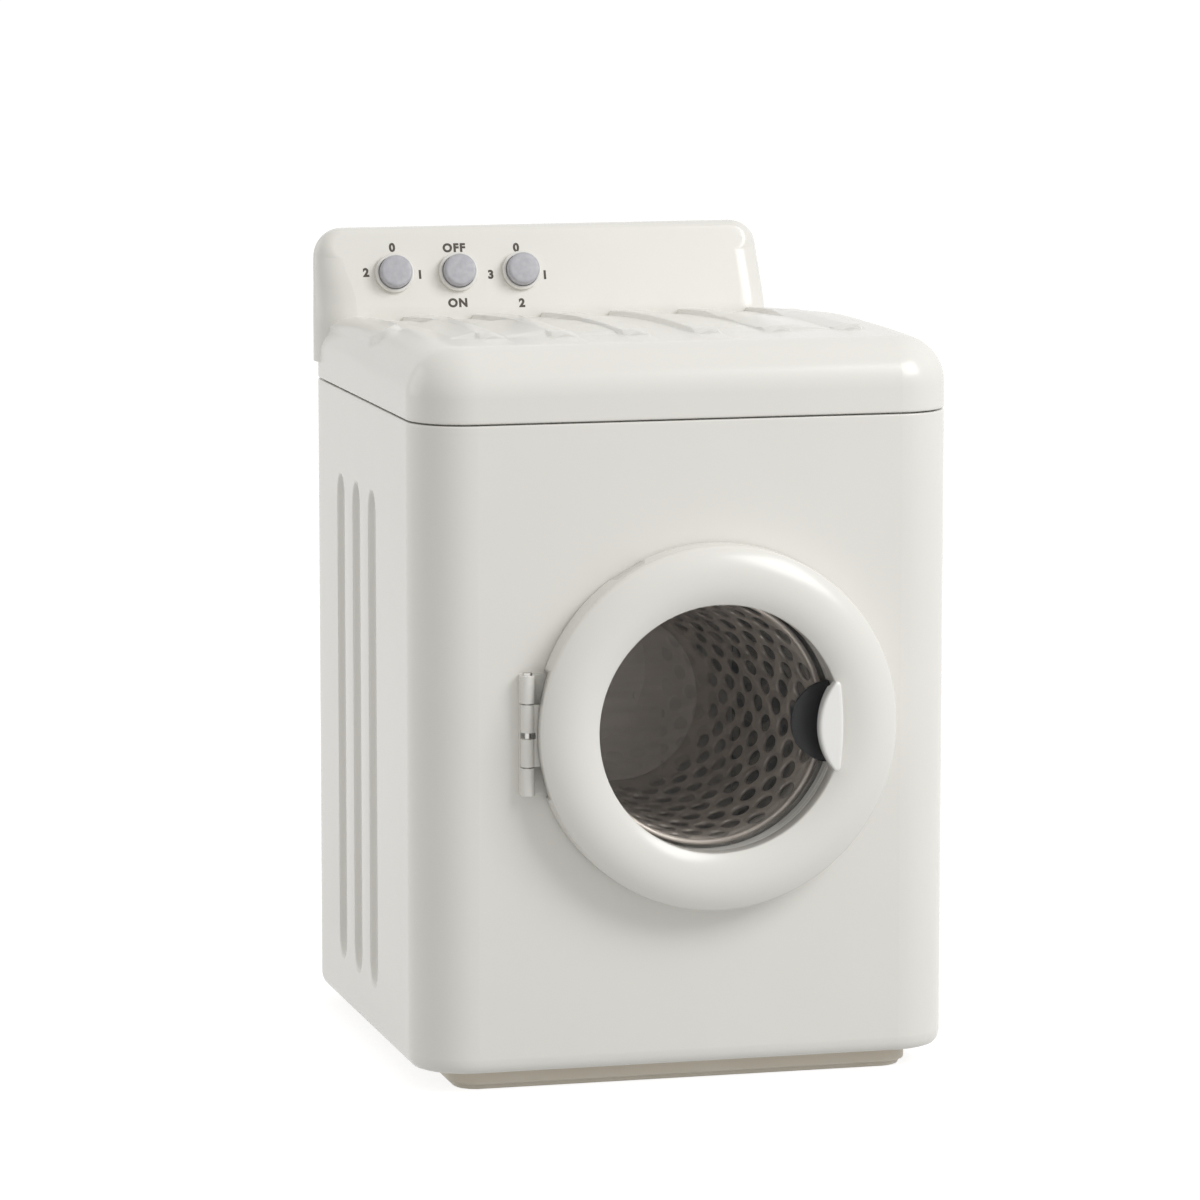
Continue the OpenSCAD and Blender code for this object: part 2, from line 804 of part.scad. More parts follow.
module door_ring() {
    color(cream) place() on_door() difference() {
        rotate_extrude($fn = 128) difference() {
            intersection() {
                translate([aperture_r, door_gap]) square([ring_r - aperture_r, ring_out]);
                translate([crown_at, ring_out - ring_round]) circle(ring_round, $fn = 128);
            }
            square([glass_r + seat_gap, glass_front]);
            square([retainer_r + seat_gap, glass_back + seat_gap]);
        }
        retainer_spots()
            cylinder(r = small_screw_r + turn_gap, h = glass_back + small_screw_hold + over / 2);
        translate([hinge_x - door_x, hinge_low - pocket_end - door_z, 0])
            cube([pocket_inner - hinge_x, hinge_h + 2 * pocket_end, pocket_out]);
        for (z = leaf_screw_zs(false))
            translate([leaf_screw_x - door_x, z - door_z, 0])
                cylinder(r = small_screw_r + turn_gap, h = pocket_out + small_screw_hold);
        translate([catch_x - door_x, 0, 0])
            cylinder(r = magnet_r + turn_gap, h = door_gap + strike_t + turn_gap);
        handle_post(seat_gap);
    }
}

module door_glass() {
    color(clear) place() on_door() difference() {
        translate([0, 0, glass_back]) cylinder(r = glass_r, h = glass_t, $fn = 128);
        handle_screw_spots() cylinder(r = small_screw_r + turn_gap, h = glass_front + over);
    }
}

module glass_retainer() {
    low = glass_back - retainer_t;
    color(cream) place() on_door() difference() {
        translate([0, 0, low]) cylinder(r = retainer_r, h = retainer_t, $fn = 128);
        translate([0, 0, low - over])
            cylinder(r = aperture_r + retainer_in, h = retainer_t + 2 * over, $fn = 128);
        retainer_spots() cylinder(r = small_screw_r + turn_gap, h = glass_front);
    }
}

module retainer_screws() {
    low = glass_back - retainer_t;
    reach = retainer_t + small_screw_hold;
    color(steel) place() on_door() retainer_spots()
        translate([0, 0, low]) screw(small_screw_r, 2 * small_screw_r, small_head_h, reach);
}

module handle_screw_spots() {
    for (z = [-handle_screw_z, handle_screw_z])
        translate([handle_x - door_x - handle_screw_in, z, 0]) children();
}

// The foot of the handle, which stands on the glass.
module handle_post(grow) {
    len = handle_len - handle_post_short + 2 * grow;
    translate([handle_x - door_x, 0, glass_front])
        lens(len, handle_bulge - handle_post_in + grow, handle_back_bulge + grow,
             handle_out - handle_plate_t - glass_front + over / 2);
}

module door_handle() {
    color(cream) place() on_door() difference() {
        union() {
            handle_post(0);
            translate([handle_x - door_x, 0, handle_out - handle_plate_t])
                lens(handle_len, handle_bulge, handle_back_bulge, handle_plate_t);
        }
        handle_screw_spots()
            cylinder(r = small_screw_r + turn_gap, h = glass_front + small_screw_hold + over / 2);
        handle_seat();
    }
}

// The ring's front, swollen by the seat's gap, which the handle's plate lies on.
module handle_seat() {
    rotate_extrude($fn = 128) intersection() {
        translate([aperture_r - seat_gap, 0]) square([ring_r - aperture_r, ring_out + over]);
        translate([crown_at, ring_out - ring_round]) circle(ring_round + seat_gap, $fn = 128);
    }
}

module handle_backing() {
    color(dark) place() on_door() intersection() {
        difference() {
            translate([handle_x - door_x, 0, glass_back - backing_t])
                lens(handle_len - backing_short, backing_bulge, handle_back_bulge, backing_t);
            handle_screw_spots() cylinder(r = small_screw_r + turn_gap, h = glass_front);
        }
        cylinder(r = aperture_r + seat_gap, h = glass_front);
    }
}

module handle_screws() {
    color(steel) place() on_door() handle_screw_spots()
        translate([0, 0, glass_back - backing_t])
            screw(small_screw_r, 2 * small_screw_r, small_head_h, backing_t + glass_t + small_screw_hold);
}

// ---- hinge ----

// Lower ends of the four knuckles, from the bottom up.
function knuckle_low(i) =
    hinge_low + i * knuckle_h + (i > 0 ? knuckle_split : 0) + (i > 1 ? pin_show : 0)
    + (i > 2 ? knuckle_split : 0);

// Heights of a leaf's two screws: the cabinet's leaf has them behind the outer
// knuckles, the door's leaf behind the inner ones.
function leaf_screw_zs(outer) =
    [for (i = outer ? [0, 3] : [1, 2]) knuckle_low(i) + knuckle_h / 2];

module knuckle(i, bore_r) {
    difference() {
        translate([hinge_x, -hinge_out, knuckle_low(i)]) cylinder(r = knuckle_r, h = knuckle_h);
        translate([hinge_x, -hinge_out, knuckle_low(i) - over])
            cylinder(r = bore_r, h = knuckle_h + 2 * over);
    }
}

module cabinet_hinge_leaf() {
    bore = pin_r + turn_gap;
    color(cream) place() difference() {
        union() {
            for (i = [0, 3]) {
                knuckle(i, bore);
                translate([hinge_x - knuckle_r, -hinge_out, knuckle_low(i)])
                    cube([knuckle_r - bore, hinge_out, knuckle_h]);
            }
            translate([hinge_x - knuckle_r, -leaf_t, hinge_low])
                cube([leaf_inner - hinge_x + knuckle_r, leaf_t, hinge_h]);
        }
        for (z = leaf_screw_zs(true))
            along_y(leaf_screw_x, -leaf_t - over, z, small_screw_r + turn_gap, leaf_t + 2 * over);
        translate([hinge_x, -hinge_out, knuckle_low(1) - knuckle_split])
            cylinder(r = knuckle_r + knuckle_split, h = hinge_h - 2 * knuckle_h);
    }
}

module cabinet_leaf_screws() {
    color(steel) place()
        for (z = leaf_screw_zs(true))
            translate([leaf_screw_x, -leaf_t, z]) rotate([-90, 0, 0])
                screw(small_screw_r, 2 * small_screw_r, small_head_h, leaf_t + wall);
}

module door_hinge_leaf() {
    bore = pin_r + turn_gap;
    low = knuckle_low(1);
    color(cream) place() difference() {
        union() {
            for (i = [1, 2])
                knuckle(i, bore);
            translate([hinge_x + bore + seat_gap, -pocket_out, low])
                cube([leaf_inner - hinge_x - bore - seat_gap, leaf_t, knuckle_low(2) + knuckle_h - low]);
        }
        translate([hinge_x, -hinge_out, low + knuckle_h])
            cylinder(r = knuckle_r + knuckle_split, h = pin_show);
        for (z = leaf_screw_zs(false))
            along_y(leaf_screw_x, -pocket_out - over, z, small_screw_r + turn_gap, leaf_t + 2 * over);
    }
}

module door_leaf_screws() {
    color(steel) place()
        for (z = leaf_screw_zs(false))
            translate([leaf_screw_x, -pocket_out + leaf_t, z]) rotate([90, 0, 0])
                screw(small_screw_r, 2 * small_screw_r, small_head_h, leaf_t + small_screw_hold - over / 2);
}

module hinge_pin() {
    color(steel) place() translate([hinge_x, -hinge_out, 0]) {
        translate([0, 0, hinge_low]) cylinder(r = pin_r, h = hinge_h + over / 4);
        translate([0, 0, hinge_low + hinge_h]) cylinder(r = 1.5 * pin_r, h = pin_head_h);
    }
}

// ---- catch ----

module catch_magnet() {
    color(dark) place() along_y(catch_x, wall, door_z, magnet_r, magnet_t);
}

module strike_disc() {
    color(steel) place() along_y(catch_x, -door_gap - strike_t, door_z, magnet_r, strike_t);
}

// ---- drum ----

// Children on the drum's axis: the origin in its mouth, +Z to the back.
module on_drum() {
    translate([door_x, drum_y, door_z]) rotate([-90 - drum_tilt, 0, 0]) children();
}

// Inner radius of the drum at a distance from its mouth.
function drum_inner_r(s) =
    drum_front_r - drum_t + (drum_back_r - drum_front_r) * s / drum_len;

module drum_shell() {
    color(steel) place() on_drum() difference() {
        union() {
            difference() {
                cylinder(r1 = drum_front_r, r2 = drum_back_r, h = drum_len);
                translate([0, 0, -drum_len])
                    cylinder(r1 = drum_inner_r(-drum_len), r2 = drum_inner_r(2 * drum_len), h = 3 * drum_len);
            }
            rotate_extrude() translate([drum_front_r - drum_t / 2, 0]) circle(drum_t);
        }
        for (row = [0:hole_rows - 1], i = [0:holes_along - 1])
            rotate([0, 0, row * 360 / hole_rows]) drum_hole(hole_margin + (i + (row % 2) / 2) * hole_pitch);
    }
}

// Cutter for one hole, which crosses the drum's sheet and nothing else.
module drum_hole(s) {
    translate([drum_inner_r(s) - over, 0, s])
        rotate([0, 90, 0]) cylinder(r = hole_r, h = drum_t + 3 * over, $fn = 24);
}

module drum_back_plate() {
    color(steel) place() on_drum()
        translate([0, 0, drum_len - drum_plate_t]) difference() {
            cylinder(r = drum_inner_r(drum_len) - turn_gap, h = drum_plate_t);
            rivet_spots(-over) cylinder(r = small_screw_r + turn_gap, h = drum_plate_t + 2 * over);
        }
}

// Children at the three rivets that hold the spindle's flange to the drum.
module rivet_spots(z) {
    for (turn = [0, 120, 240])
        rotate([0, 0, turn]) translate([rivet_at, 0, z]) children();
}

module drum_spindle() {
    color(steel) place() on_drum() translate([0, 0, drum_len]) difference() {
        union() {
            cylinder(r = hub_r, h = hub_t);
            cylinder(r = spindle_r, h = spindle_len);
        }
        rivet_spots(-over) cylinder(r = small_screw_r + turn_gap, h = hub_t + 2 * over);
    }
}

module drum_rivets() {
    color(steel) place() on_drum()
        rivet_spots(drum_len - drum_plate_t)
            screw(small_screw_r, 2 * small_screw_r, small_head_h, drum_plate_t + hub_t);
}

module spindle_clip() {
    color(steel) place() on_drum()
        translate([0, 0, bush_start + bush_flange_t + bush_len + 2 * seat_gap]) difference() {
            cylinder(r = 1.8 * spindle_r, h = spindle_clip_t);
            translate([0, 0, -over]) cylinder(r = spindle_r, h = spindle_clip_t + 2 * over);
        }
}

module spindle_bush() {
    color("peru") place() on_drum()
        translate([0, 0, bush_start]) difference() {
            union() {
                cylinder(r = spindle_r + 2 * bush_wall, h = bush_flange_t);
                cylinder(r = spindle_r + bush_wall, h = bush_len + bush_flange_t);
            }
            translate([0, 0, -over])
                cylinder(r = spindle_r + turn_gap, h = bush_len + bush_flange_t + 2 * over);
        }
}

// Children at the two screws in the pedestal's foot.
module pedestal_screw_spots() {
    for (side = [-1, 1])
        translate([door_x + side * pedestal_screw_x, pedestal_screw_y, 0]) children();
}

module bearing_pedestal() {
    socket_r = spindle_r + bush_wall + turn_gap;
    color(shade_cream) place() difference() {
        union() {
            translate([door_x - pedestal_w / 2, pedestal_y - pedestal_t / 2, floor_z])
                cube([pedestal_w, pedestal_t, pedestal_z - floor_z]);
            along_y(door_x, pedestal_y - pedestal_t / 2, pedestal_z, pedestal_w / 2, pedestal_t);
            translate([door_x - pedestal_w / 2, pedestal_y - pedestal_t / 2 - pedestal_foot, floor_z])
                cube([pedestal_w, pedestal_foot + pedestal_t, pedestal_foot_t]);
            on_drum() translate([0, 0, bush_start + bush_flange_t])
                cylinder(r = socket_r + pedestal_wall, h = bush_len - over / 2);
        }
        on_drum() translate([0, 0, bush_start]) cylinder(r = socket_r, h = bush_len + 2 * over);
        pedestal_screw_spots()
            translate([0, 0, floor_z - over])
                cylinder(r = screw_r + turn_gap, h = pedestal_foot_t + 2 * over);
    }
}

module pedestal_screws() {
    reach = pedestal_foot_t + pan_t + over;
    color(steel) place() pedestal_screw_spots()
        translate([0, 0, floor_z + pedestal_foot_t])
            rotate([180, 0, 0]) screw(screw_r, 2 * screw_r, screw_head_h, reach);
}

cabinet_shell();
base_pan();
plinth();
base_screws();
back_cover();
back_cover_screws();
top_lid();
lid_screws();
console_shell();
console_back();
console_back_screws();
console_screws();
bezel(0);  // bezel_left
bezel(1);  // bezel_middle
bezel(2);  // bezel_right
knob(0);  // knob_left
knob(1);  // knob_middle
knob(2);  // knob_right
knob_clip(0);  // knob_clip_left
knob_clip(1);  // knob_clip_middle
knob_clip(2);  // knob_clip_right
opening_collar();
door_ring();
door_glass();
glass_retainer();
retainer_screws();
door_handle();
handle_backing();
handle_screws();
cabinet_hinge_leaf();
cabinet_leaf_screws();
door_hinge_leaf();
door_leaf_screws();
hinge_pin();
catch_magnet();
strike_disc();
drum_shell();
drum_back_plate();
drum_spindle();
drum_rivets();
spindle_clip();
spindle_bush();
bearing_pedestal();
pedestal_screws();
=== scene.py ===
import json
from math import asin, atan, atan2, copysign, cos, degrees, hypot, pi, radians, sin, sqrt, tan

import bmesh
import bpy
from mathutils import Matrix, Vector

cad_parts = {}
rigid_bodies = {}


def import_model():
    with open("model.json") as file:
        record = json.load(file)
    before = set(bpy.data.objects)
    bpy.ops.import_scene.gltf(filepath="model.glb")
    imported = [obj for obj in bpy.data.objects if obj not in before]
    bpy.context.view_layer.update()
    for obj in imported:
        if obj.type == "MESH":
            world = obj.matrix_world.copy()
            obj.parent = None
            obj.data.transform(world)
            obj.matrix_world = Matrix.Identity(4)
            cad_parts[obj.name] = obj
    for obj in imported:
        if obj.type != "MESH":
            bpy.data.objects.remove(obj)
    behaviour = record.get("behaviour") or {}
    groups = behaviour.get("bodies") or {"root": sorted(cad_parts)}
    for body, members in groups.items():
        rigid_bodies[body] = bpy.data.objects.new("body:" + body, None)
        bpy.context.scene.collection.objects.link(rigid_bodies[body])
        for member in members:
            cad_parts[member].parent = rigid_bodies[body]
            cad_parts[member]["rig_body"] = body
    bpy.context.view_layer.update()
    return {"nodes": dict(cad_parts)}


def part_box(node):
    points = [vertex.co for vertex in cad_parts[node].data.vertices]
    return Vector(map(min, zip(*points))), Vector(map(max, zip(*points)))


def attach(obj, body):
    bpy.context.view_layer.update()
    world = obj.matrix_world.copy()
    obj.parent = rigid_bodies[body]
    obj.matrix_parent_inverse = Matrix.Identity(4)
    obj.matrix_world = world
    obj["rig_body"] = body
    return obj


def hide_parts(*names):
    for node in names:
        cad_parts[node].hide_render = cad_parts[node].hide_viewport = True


for leftover in list(bpy.data.objects):
    bpy.data.objects.remove(leftover)
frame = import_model()
nodes = frame["nodes"]

# ---- View ----
# The toy is seen from a little left of its front and a little above, through a
# long lens. The camera comes first, and everything after it is in metres.
MM = 0.001
VIEW_YAW = 0.2553
VIEW_PITCH = 0.1428
SENSOR_MM = 36
LENS_MM = 179.66
CAMERA_AT = Vector((-295.05, -1110.12, 250.99)) * MM


def add_to_scene(name, data):
    """A new object at the origin of the scene that holds the data."""
    thing = bpy.data.objects.new(name, data)
    bpy.context.scene.collection.objects.link(thing)
    return thing


camera_data = bpy.data.cameras.new("camera")
camera_data.sensor_width = SENSOR_MM
camera_data.lens = LENS_MM
camera_data.clip_start = 0.01
camera = add_to_scene("camera", camera_data)
camera.location = CAMERA_AT
camera.rotation_euler = (pi / 2 - VIEW_PITCH, 0, -VIEW_YAW)
bpy.context.scene.camera = camera
bpy.context.scene.view_settings.view_transform = "Standard"

# ---- Cabinet shell ----
# One moulding in glossy cream plastic: four walls with round upright corners and
# three soft grooves pressed into each side. It is open above and below, its front
# is cut round for the door, and its back is cut away behind a screwed cover.
WALL = 1.6 * MM
CORNER = 11 * MM
RIM = 0.3 * MM
FOOT_IN = 1.5 * MM
FOOT_UP = 2.6 * MM
GROOVE_PITCH = 13.9 * MM
GROOVE_MID = 54.5 * MM
GROOVE_HALF = 3 * MM
GROOVE_DEPTH = 1.1 * MM
GROOVE_SOFT = 0.4 * MM
GROOVE_TIP = 5 * MM
GROOVE_LOW = 13.6 * MM
GROOVE_HIGH = 109 * MM
HOLE_R = 25.4 * MM
BACK_CUT_W = 72 * MM
BACK_CUT_LOW = 20 * MM
BACK_CUT_HIGH = 108 * MM
CREAM_LIGHT = (0.855, 0.845, 0.812)
CREAM_DARK = (0.83, 0.818, 0.782)
# Height above which the inside of the walls is painted near black as painted shade.
SHADE_PAINT_LOW = 6.8 * MM

cabinet_low, cabinet_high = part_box("cabinet_shell")
door_low, door_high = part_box("door_ring")
door_mid = (door_low + door_high) / 2
front_y = cabinet_low.y
cabinet_mid = (cabinet_low + cabinet_high) / 2
mid_x = cabinet_mid.x
groove_ys = [front_y + GROOVE_MID + k * GROOVE_PITCH for k in (-1, 0, 1)]


def smooth_step(t):
    """Rises softly from 0 to 1 as t goes from 0 to 1."""
    t = min(1, max(0, t))
    return t * t * (3 - 2 * t)


def spread(low, high, steps):
    """Even values from low to high, both ends included."""
    return [low + (high - low) * k / steps for k in range(steps + 1)]


def plan_outline(low, high, radius, xs, ys, arc_steps=12):
    """(point, outward normal) round a plan, anticlockwise from the front's left end.
    xs and ys run between the corners, and each of them ends where a corner starts."""
    outline = []

    def arc(x, y, start):
        for k in range(1, arc_steps):
            turn = radians(start + 90 * k / arc_steps)
            normal = Vector((cos(turn), sin(turn)))
            outline.append((Vector((x, y)) + radius * normal, normal))

    outline += [(Vector((x, low.y)), Vector((0, -1))) for x in xs]
    arc(high.x - radius, low.y + radius, -90)
    outline += [(Vector((high.x, y)), Vector((1, 0))) for y in ys]
    arc(high.x - radius, high.y - radius, 0)
    outline += [(Vector((x, high.y)), Vector((0, 1))) for x in reversed(xs)]
    arc(low.x + radius, high.y - radius, 90)
    outline += [(Vector((low.x, y)), Vector((-1, 0))) for y in reversed(ys)]
    arc(low.x + radius, low.y + radius, 180)
    return outline


def between_corners(low, high, radius):
    """Ends of a straight stretch, with a support close to each to keep it flat."""
    return [low + radius, low + radius + RIM], [high - radius - RIM, high - radius]


def bridge(mesh, ring_a, ring_b):
    """Faces between two closed rings of vertices."""
    for k in range(len(ring_a)):
        after = (k + 1) % len(ring_a)
        mesh.faces.new((ring_a[k], ring_a[after], ring_b[after], ring_b[k]))


def as_object(name, mesh):
    """Turns a bmesh into a smooth-shaded object in the scene."""
    data = bpy.data.meshes.new(name)
    mesh.to_mesh(data)
    mesh.free()
    for face in data.polygons:
        face.use_smooth = True
    return add_to_scene(name, data)


def settle(piece):
    """Applies the modifiers of a piece to its mesh."""
    graph = bpy.context.evaluated_depsgraph_get()
    data = bpy.data.meshes.new_from_object(piece.evaluated_get(graph), depsgraph=graph)
    piece.modifiers.clear()
    piece.data = data


def cut_away(piece, cutters):
    """Cuts closed shapes out of a piece and takes them away."""
    for cutter in cutters:
        cut = piece.modifiers.new("cut", "BOOLEAN")
        cut.operation = "DIFFERENCE"
        cut.solver = "EXACT"
        cut.object = cutter
    settle(piece)
    for cutter in cutters:
        bpy.data.objects.remove(cutter)


def even_shading(piece):
    """Weighs the normals by face area, so that flat faces shade flat."""
    weigh = piece.modifiers.new("even", "WEIGHTED_NORMAL")
    weigh.keep_sharp = True
    weigh.weight = 100
    settle(piece)


def block(name, low, high):
    """A closed box between two corners."""
    mesh = bmesh.new()
    bmesh.ops.create_cube(mesh, size=1)
    size = Vector(high) - Vector(low)
    middle = (Vector(high) + Vector(low)) / 2
    bmesh.ops.transform(
        mesh, matrix=Matrix.Translation(middle) @ Matrix.Diagonal((*size, 1)), verts=mesh.verts
    )
    return as_object(name, mesh)


def rod(name, start, end, radius, steps=96):
    """A closed cylinder from one point to another."""
    axis = Vector(end) - Vector(start)
    turn = axis.to_track_quat("Z", "Y").to_matrix().to_4x4()
    mesh = bmesh.new()
    bmesh.ops.create_cone(
        mesh, cap_ends=True, segments=steps, radius1=radius, radius2=radius, depth=axis.length,
        matrix=Matrix.Translation((Vector(start) + Vector(end)) / 2) @ turn,
    )
    return as_object(name, mesh)


def groove_depth(y, z):
    """How deep a side wall is pressed in at a depth position and a height."""
    past_end = max(GROOVE_LOW + GROOVE_TIP - z, z - GROOVE_HIGH + GROOVE_TIP, 0)
    past_end *= GROOVE_HALF / GROOVE_TIP
    away = min(hypot(y - groove_y, past_end) for groove_y in groove_ys)
    return GROOVE_DEPTH * smooth_step((GROOVE_HALF - away) / (2 * GROOVE_SOFT) + 0.5)


xs_low, xs_high = between_corners(cabinet_low.x, cabinet_high.x, CORNER)
ys_low, ys_high = between_corners(cabinet_low.y, cabinet_high.y, CORNER)
groove_reach = GROOVE_HALF + GROOVE_SOFT
side_ys = ys_low[:]
for groove_y in groove_ys:
    side_ys += spread(groove_y - groove_reach, groove_y + groove_reach, 22)
side_ys += ys_high
plan = plan_outline(
    cabinet_low, cabinet_high, CORNER, xs_low + spread(-30 * MM, 30 * MM, 4) + xs_high, side_ys
)

tip_reach = GROOVE_TIP + GROOVE_SOFT
tip_tail = GROOVE_TIP * GROOVE_SOFT / GROOVE_HALF
wall_zs = [cabinet_low.z + FOOT_UP, cabinet_low.z + FOOT_UP + RIM]
wall_zs += spread(GROOVE_LOW - tip_tail, GROOVE_LOW + tip_reach, 22)
wall_zs += spread(GROOVE_LOW + 20 * MM, GROOVE_HIGH - 20 * MM, 4)
wall_zs += spread(GROOVE_HIGH - tip_reach, GROOVE_HIGH + tip_tail, 22)
wall_zs += [cabinet_high.z - 2 * RIM, cabinet_high.z - RIM]
quarter = [radians(a) for a in (0, 22.5, 45, 67.5, 90)]
profile = [(WALL, cabinet_low.z), (WALL, cabinet_low.z + 3 * MM)]
profile += [(WALL, cabinet_high.z - 3 * MM), (WALL, cabinet_high.z)]
profile += [
    (RIM * (1 - cos(a)), cabinet_high.z - RIM * (1 - sin(a))) for a in reversed(quarter)
]
profile += [(0, z) for z in reversed(wall_zs[1:-1])]
profile += [(FOOT_IN * (1 - cos(a)), cabinet_low.z + FOOT_UP * (1 - sin(a))) for a in quarter]

shell_mesh = bmesh.new()
shell_rings = []
for inset, z in profile:
    ring = []
    for point, normal in plan:
        push = inset
        if abs(normal.x) == 1 and inset < WALL / 2:
            push += groove_depth(point.y, z)
        flat = point - normal * push
        ring.append(shell_mesh.verts.new((flat.x, flat.y, z)))
    shell_rings.append(ring)
for ring_a, ring_b in zip(shell_rings, shell_rings[1:] + shell_rings[:1]):
    bridge(shell_mesh, ring_a, ring_b)
bmesh.ops.recalc_face_normals(shell_mesh, faces=shell_mesh.faces)
cabinet_skin = as_object("cabinet_skin", shell_mesh)
cut_away(cabinet_skin, [
    rod("door_cut", (door_mid.x, front_y - WALL, door_mid.z),
        (door_mid.x, front_y + 2 * WALL, door_mid.z), HOLE_R, 128),
    block("back_cut", (mid_x - BACK_CUT_W / 2, cabinet_high.y - 2 * WALL, BACK_CUT_LOW),
          (mid_x + BACK_CUT_W / 2, cabinet_high.y + WALL, BACK_CUT_HIGH)),
])
even_shading(cabinet_skin)


def finish(name, roughness, dark, light, density, unevenness, metallic=0, stretch=(1, 1, 1)):
    """A material whose colour drifts between two tones in object space. Its surface is
    uneven by so many mm, four times as dense. stretch draws both out along an axis."""
    material = bpy.data.materials.new(name)
    material.use_nodes = True
    tree = material.node_tree
    shader = tree.nodes["Principled BSDF"]
    shader.inputs["Roughness"].default_value = roughness
    shader.inputs["Metallic"].default_value = metallic
    place = tree.nodes.new("ShaderNodeTexCoord")
    mapping = tree.nodes.new("ShaderNodeMapping")
    mapping.inputs["Scale"].default_value = stretch
    tree.links.new(place.outputs["Object"], mapping.inputs["Vector"])
    patterns = []
    for scale, detail in ((density, 3), (4 * density, 4)):
        noise = tree.nodes.new("ShaderNodeTexNoise")
        noise.inputs["Scale"].default_value = scale
        noise.inputs["Detail"].default_value = detail
        tree.links.new(mapping.outputs["Vector"], noise.inputs["Vector"])
        patterns.append(noise.outputs["Fac"])
    blend = tree.nodes.new("ShaderNodeMix")
    blend.data_type = "RGBA"
    blend.inputs["A"].default_value = (*dark, 1)
    blend.inputs["B"].default_value = (*light, 1)
    tree.links.new(patterns[0], blend.inputs["Factor"])
    tree.links.new(blend.outputs["Result"], shader.inputs["Base Color"])
    bump = tree.nodes.new("ShaderNodeBump")
    bump.inputs["Strength"].default_value = 0.3
    bump.inputs["Distance"].default_value = unevenness * MM
    tree.links.new(patterns[1], bump.inputs["Height"])
    tree.links.new(bump.outputs["Normal"], shader.inputs["Normal"])
    return material


def dress(piece, material, body, slot, *replaced):
    """Gives a piece its material and its body, and hides the CAD nodes it stands for. The slot is
    not used.
    """
    piece.data.materials.clear()
    piece.data.materials.append(material)
    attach(piece, body)
    if replaced:
        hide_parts(*replaced)


cream_gloss = finish("cream_gloss", 0.24, CREAM_DARK, CREAM_LIGHT, 60, 0.02)
dress(cabinet_skin, cream_gloss, "cabinet", "shell_cream", "cabinet_shell")
# The drum's holes show dark, and what lies behind them isn't seen. The inside of the walls
# is painted near black as painted shade, for the shade inside the cabinet behind the drum.
painted_shade_inside = finish("painted_shade_inside", 0.7, (0.07, 0.07, 0.073), (0.1, 0.1, 0.104), 80, 0.05)
cabinet_skin.data.materials.append(painted_shade_inside)
# Upright faces that look inwards, above that height, take the painted shade.
for face in cabinet_skin.data.polygons:
    outward = (face.center - cabinet_mid).to_2d().dot(face.normal.to_2d()) > 0
    upright = abs(face.normal.z) < 0.1 and face.center.z > SHADE_PAINT_LOW
    face.material_index = int(upright and not outward)

# ---- Lid ----
# A moulded tray in the same cream plastic, turned over: its front and side edges
# are fully round, its top is slightly crowned and carries seven raised ribs with
# soft tips, and its lip drops into the cabinet behind a fine dark seam.
LID_ROUND = 9 * MM
LID_ROUND_LESS = 3 * MM
LID_LESS_FROM = 30 * MM
LID_LESS_LEN = 45 * MM
LID_BACK_ROUND = 1.2 * MM
LID_SEAM_Z = 126.15 * MM
LID_TOP = 140 * MM
LIP_GAP = 0.1 * MM
CROWN_R = 700 * MM
CROWN_Y = 25 * MM
RIB_COUNT = 7
RIB_PITCH = 14 * MM
RIB_MID = -5.4 * MM
RIB_HALF = 2.8 * MM
RIB_HEIGHT = 0.95 * MM
RIB_SOFT = 0.4 * MM
RIB_TIP = 5 * MM
RIB_FRONT = 18.5 * MM
FIRST_RIB_BACK = 26 * MM
LID_ROUND_STEPS = 20

lid_low, lid_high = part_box("top_lid")
rib_xs = [mid_x + RIB_MID + (k - (RIB_COUNT - 1) / 2) * RIB_PITCH for k in range(RIB_COUNT)]
rib_start = front_y + RIB_FRONT
rib_starts = [rib_start + FIRST_RIB_BACK] + [rib_start] * (RIB_COUNT - 1)


def lid_crown(y):
    """Height of the lid's smooth top at a depth position."""
    away = y - front_y - CROWN_Y
    return LID_TOP - CROWN_R + sqrt(CROWN_R ** 2 - away ** 2)


def rib_height(x, y):
    """How far the ribs stand up at a place on the lid."""
    away = min(
        hypot(x - rib_x, max(start + RIB_TIP - y, 0) * RIB_HALF / RIB_TIP)
        for rib_x, start in zip(rib_xs, rib_starts)
    )
    back_end = smooth_step((lid_high.y - 2 * LID_BACK_ROUND - y) / (2 * MM))
    return RIB_HEIGHT * back_end * smooth_step((RIB_HALF - away) / (2 * RIB_SOFT) + 0.5)


def grid_rows(south, east, north, west):
    """Rows of points that fill the space inside four joined boundary curves."""
    rows = []
    for j, (left, right) in enumerate(zip(west, east)):
        v = j / (len(west) - 1)
        row = []
        for i, (low, high) in enumerate(zip(south, north)):
            u = i / (len(south) - 1)
            corners = south[0].lerp(south[-1], u).lerp(north[0].lerp(north[-1], u), v)
            row.append(low.lerp(high, v) + left.lerp(right, u) - corners)
        rows.append(row)
    return rows


def grid_cover(mesh, loop, turns, lift):
    """Fills a loop of flat points with a grid, lifted by a function, and returns the
    vertices of its edge in the loop's order. turns holds the loop's four corners."""
    a, b, c, d = turns
    south, east = loop[a:b + 1], loop[b:c + 1]
    north, west = loop[c:d + 1][::-1], (loop[d:] + loop[:1])[::-1]
    rows = [
        [mesh.verts.new(lift(p)) for p in row] for row in grid_rows(south, east, north, west)
    ]
    for low, high in zip(rows, rows[1:]):
        for i in range(len(low) - 1):
            mesh.faces.new((low[i], low[i + 1], high[i + 1], high[i]))
    edge = rows[0] + [row[-1] for row in rows[1:]] + rows[-1][-2::-1]
    return edge + [row[0] for row in rows[-2:0:-1]]


def corner_middles(outline):
    """Where a plan's outline is at the middles of its round corners."""
    return [k for k, (point, normal) in enumerate(outline) if 0.7 < abs(normal.x) < 0.71]


